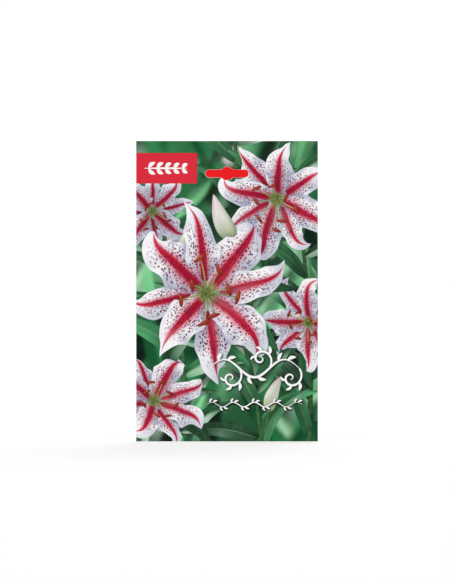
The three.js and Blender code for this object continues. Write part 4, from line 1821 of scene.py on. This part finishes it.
class PACKET_OT_peat(bpy.types.Operator):
    """Make the moist peat that the bulb is bedded in, with loose crumbs and fibres"""

    bl_idname = "bulb_packet.peat"
    bl_label = "Packing Peat"

    def execute(self, context):
        settings = context.scene.bulb_packet_peat
        rng = random.Random(settings.seed)
        noise.seed_set(1 + settings.seed)  # a seed of 0 would take the clock
        heap = roughened(remeshed(closed_peat(), settings.grain))
        loose = bmesh.new()
        for spot in scattered(heap, settings.crumbs, rng, 0.3 * MM):
            peat_crumb(loose, *spot, rng)
        fibres = [peat_fibre(*spot, rng) for spot in scattered(heap, settings.fibres, rng, 0)]
        bm = joined([heap, loose, *fibres], [0, 0] + [1] * len(fibres))
        keep_behind_film(bm, context.scene.bulb_packet_pouch)
        add_piece("loose_peat", bm, (moist_peat(), dry_fibre()), ("packing_peat",))
        return {"FINISHED"}


# ---- the stage ----

FRAME_WIDTH, FRAME_HEIGHT = 452, 584  # of the picture that is taken, in pixels
CARD_PIXELS = 300.4  # height of the card in it
CARD_MIDDLE = (227.0, 291.2)
SENSOR = 36.0
DISH_FLOOR, DISH_BEND, DISH_TOP = 2.9, 0.9, 4.0  # radius of the floor, of its bend, and height, in metres
FLOOR_GLOW = 0.65
WALL_GLOW = 0.80  # the lamps reach the backdrop less, so it glows more by itself
WALL_BEGINS = (1.6, 3.0)  # distances between which the glow grows from the floor's to the backdrop's
WALL_FADES = (0.65, 1.2)  # heights between which it dims again, above what the camera sees
LIGHTS = (
    # name, place, size and share of the key light's power
    ("key_left", (-1.5, -1.5, 1.3), (1.1, 1.1), 1),
    ("key_right", (1.5, -1.5, 1.0), (1.1, 1.1), 0.75),
    ("back_light", (0.4, 1.6, 1.5), (1.4, 1.0), 1.65),
)
ROOM_LIGHT = 0.2


def dish_mesh():
    """A round floor that curves up into a backdrop on every side: one line, spun round the Z axis."""
    bm = bmesh.new()
    bend = arc((DISH_FLOOR, DISH_BEND), DISH_BEND, -pi / 2, 0, 16)
    points = [(0.0, 0.0), *bend, (DISH_FLOOR + DISH_BEND, DISH_TOP)]
    verts = [bm.verts.new((away, 0, z)) for away, z in points]
    edges = [bm.edges.new(pair) for pair in zip(verts, verts[1:])]
    bmesh.ops.spin(bm, geom=verts + edges, axis=(0, 0, 1), angle=TAU, steps=64, use_merge=True)
    outwards(bm, MM)
    if sum(face.normal.z for face in bm.faces) < 0:
        bmesh.ops.reverse_faces(bm, faces=bm.faces[:])
    return bm


@material("Pale floor")
def pale_floor(graph):
    """Material: the floor and the backdrop, which glow a little by themselves."""
    distance = graph.add("ShaderNodeVectorMath", {0: graph.place()}, "Value", operation="LENGTH")
    dimming = graph.axis(graph.place(), "Z").smooth(*WALL_FADES, 1.0, 0.15)
    return {"Base Color": tuple(bpy.context.scene.bulb_packet_stage.floor_colour), "Roughness": 0.9,
            "Emission Strength": WALL_GLOW,
            "Emission Color": distance.smooth(*WALL_BEGINS, FLOOR_GLOW / WALL_GLOW, 1.0) * dimming}


class PACKET_OT_stage(bpy.types.Operator):
    """Make the pale floor and backdrop, the soft lights and the camera"""

    bl_idname = "bulb_packet.stage"
    bl_label = "Stage"

    def execute(self, context):
        settings = context.scene.bulb_packet_stage
        floor = placed("floor_dish", meshed("floor_dish", dish_mesh()))
        floor.data.materials.append(pale_floor())
        floor.data.shade_smooth()
        for light in LIGHTS:
            self.add_light(settings.key_power, *light)
        world = bpy.data.worlds.new("Pale room")
        world.use_nodes = True
        background = world.node_tree.nodes["Background"].inputs
        background["Color"].default_value = (1, 1, 1, 1)
        background["Strength"].default_value = ROOM_LIGHT
        context.scene.world = world
        context.scene.view_settings.view_transform = "Standard"
        self.add_camera(context, settings.distance)
        return {"FINISHED"}

    def add_light(self, key_power, name, place, size, share):
        data = bpy.data.lights.new(name, "AREA")
        data.shape = "RECTANGLE"
        data.size, data.size_y = size
        data.energy = share * key_power
        light = placed(name, data)
        light.location = place
        towards = Vector((0, 0, CARD_HEIGHT / 2)) - Vector(place)
        light.rotation_euler = towards.to_track_quat("-Z", "Y").to_euler()

    def add_camera(self, context, distance):
        """A long lens square to the printed face, framed so that the card has its place in the picture."""
        data = bpy.data.cameras.new("front_camera")
        camera = placed("front_camera", data)
        pixel = CARD_HEIGHT / CARD_PIXELS
        data.sensor_width = SENSOR
        data.lens = SENSOR * distance / (FRAME_HEIGHT * pixel)
        right = (CARD_MIDDLE[0] - FRAME_WIDTH / 2) * pixel
        up = (FRAME_HEIGHT / 2 - CARD_MIDDLE[1]) * pixel
        camera.location = (-right, card_low.y - distance, CARD_HEIGHT / 2 - up)
        camera.rotation_euler = (pi / 2, 0, 0)
        data.clip_start, data.clip_end = 0.05, 20
        context.scene.camera = camera


# ---- the panel and the run ----

OPERATORS = (PACKET_OT_card, PACKET_OT_picture, PACKET_OT_ornaments, PACKET_OT_knockout, PACKET_OT_pouch,
             PACKET_OT_glue, PACKET_OT_bulb, PACKET_OT_peat, PACKET_OT_stage)


class PACKET_PT_panel(bpy.types.Panel):
    """Lists the packet's pieces and their settings"""

    bl_label = "Bulb Packet"
    bl_idname = "PACKET_PT_panel"
    bl_space_type = "VIEW_3D"
    bl_region_type = "UI"
    bl_category = "Bulb Packet"

    def draw(self, context):
        for operator in OPERATORS:
            self.layout.operator(operator.bl_idname)
        for name, settings in SETTINGS.items():
            group = getattr(context.scene, name)
            for setting in settings.__annotations__:
                self.layout.prop(group, setting)


CLASSES = (*SETTINGS.values(), *OPERATORS, PACKET_PT_panel)


def register():
    for made in CLASSES:
        bpy.utils.register_class(made)
    for name, settings in SETTINGS.items():
        setattr(bpy.types.Scene, name, PointerProperty(type=settings))


def unregister():
    for name in SETTINGS:
        delattr(bpy.types.Scene, name)
    for made in reversed(CLASSES):
        bpy.utils.unregister_class(made)


def main():
    register()
    bpy.ops.bulb_packet.card()
    bpy.ops.bulb_packet.picture()
    bpy.ops.bulb_packet.ornaments()
    bpy.ops.bulb_packet.knockout()
    bpy.ops.bulb_packet.pouch()
    bpy.ops.bulb_packet.glue()
    bpy.ops.bulb_packet.bulb()
    bpy.ops.bulb_packet.peat()
    bpy.ops.bulb_packet.stage()


if __name__ == "__main__":
    main()
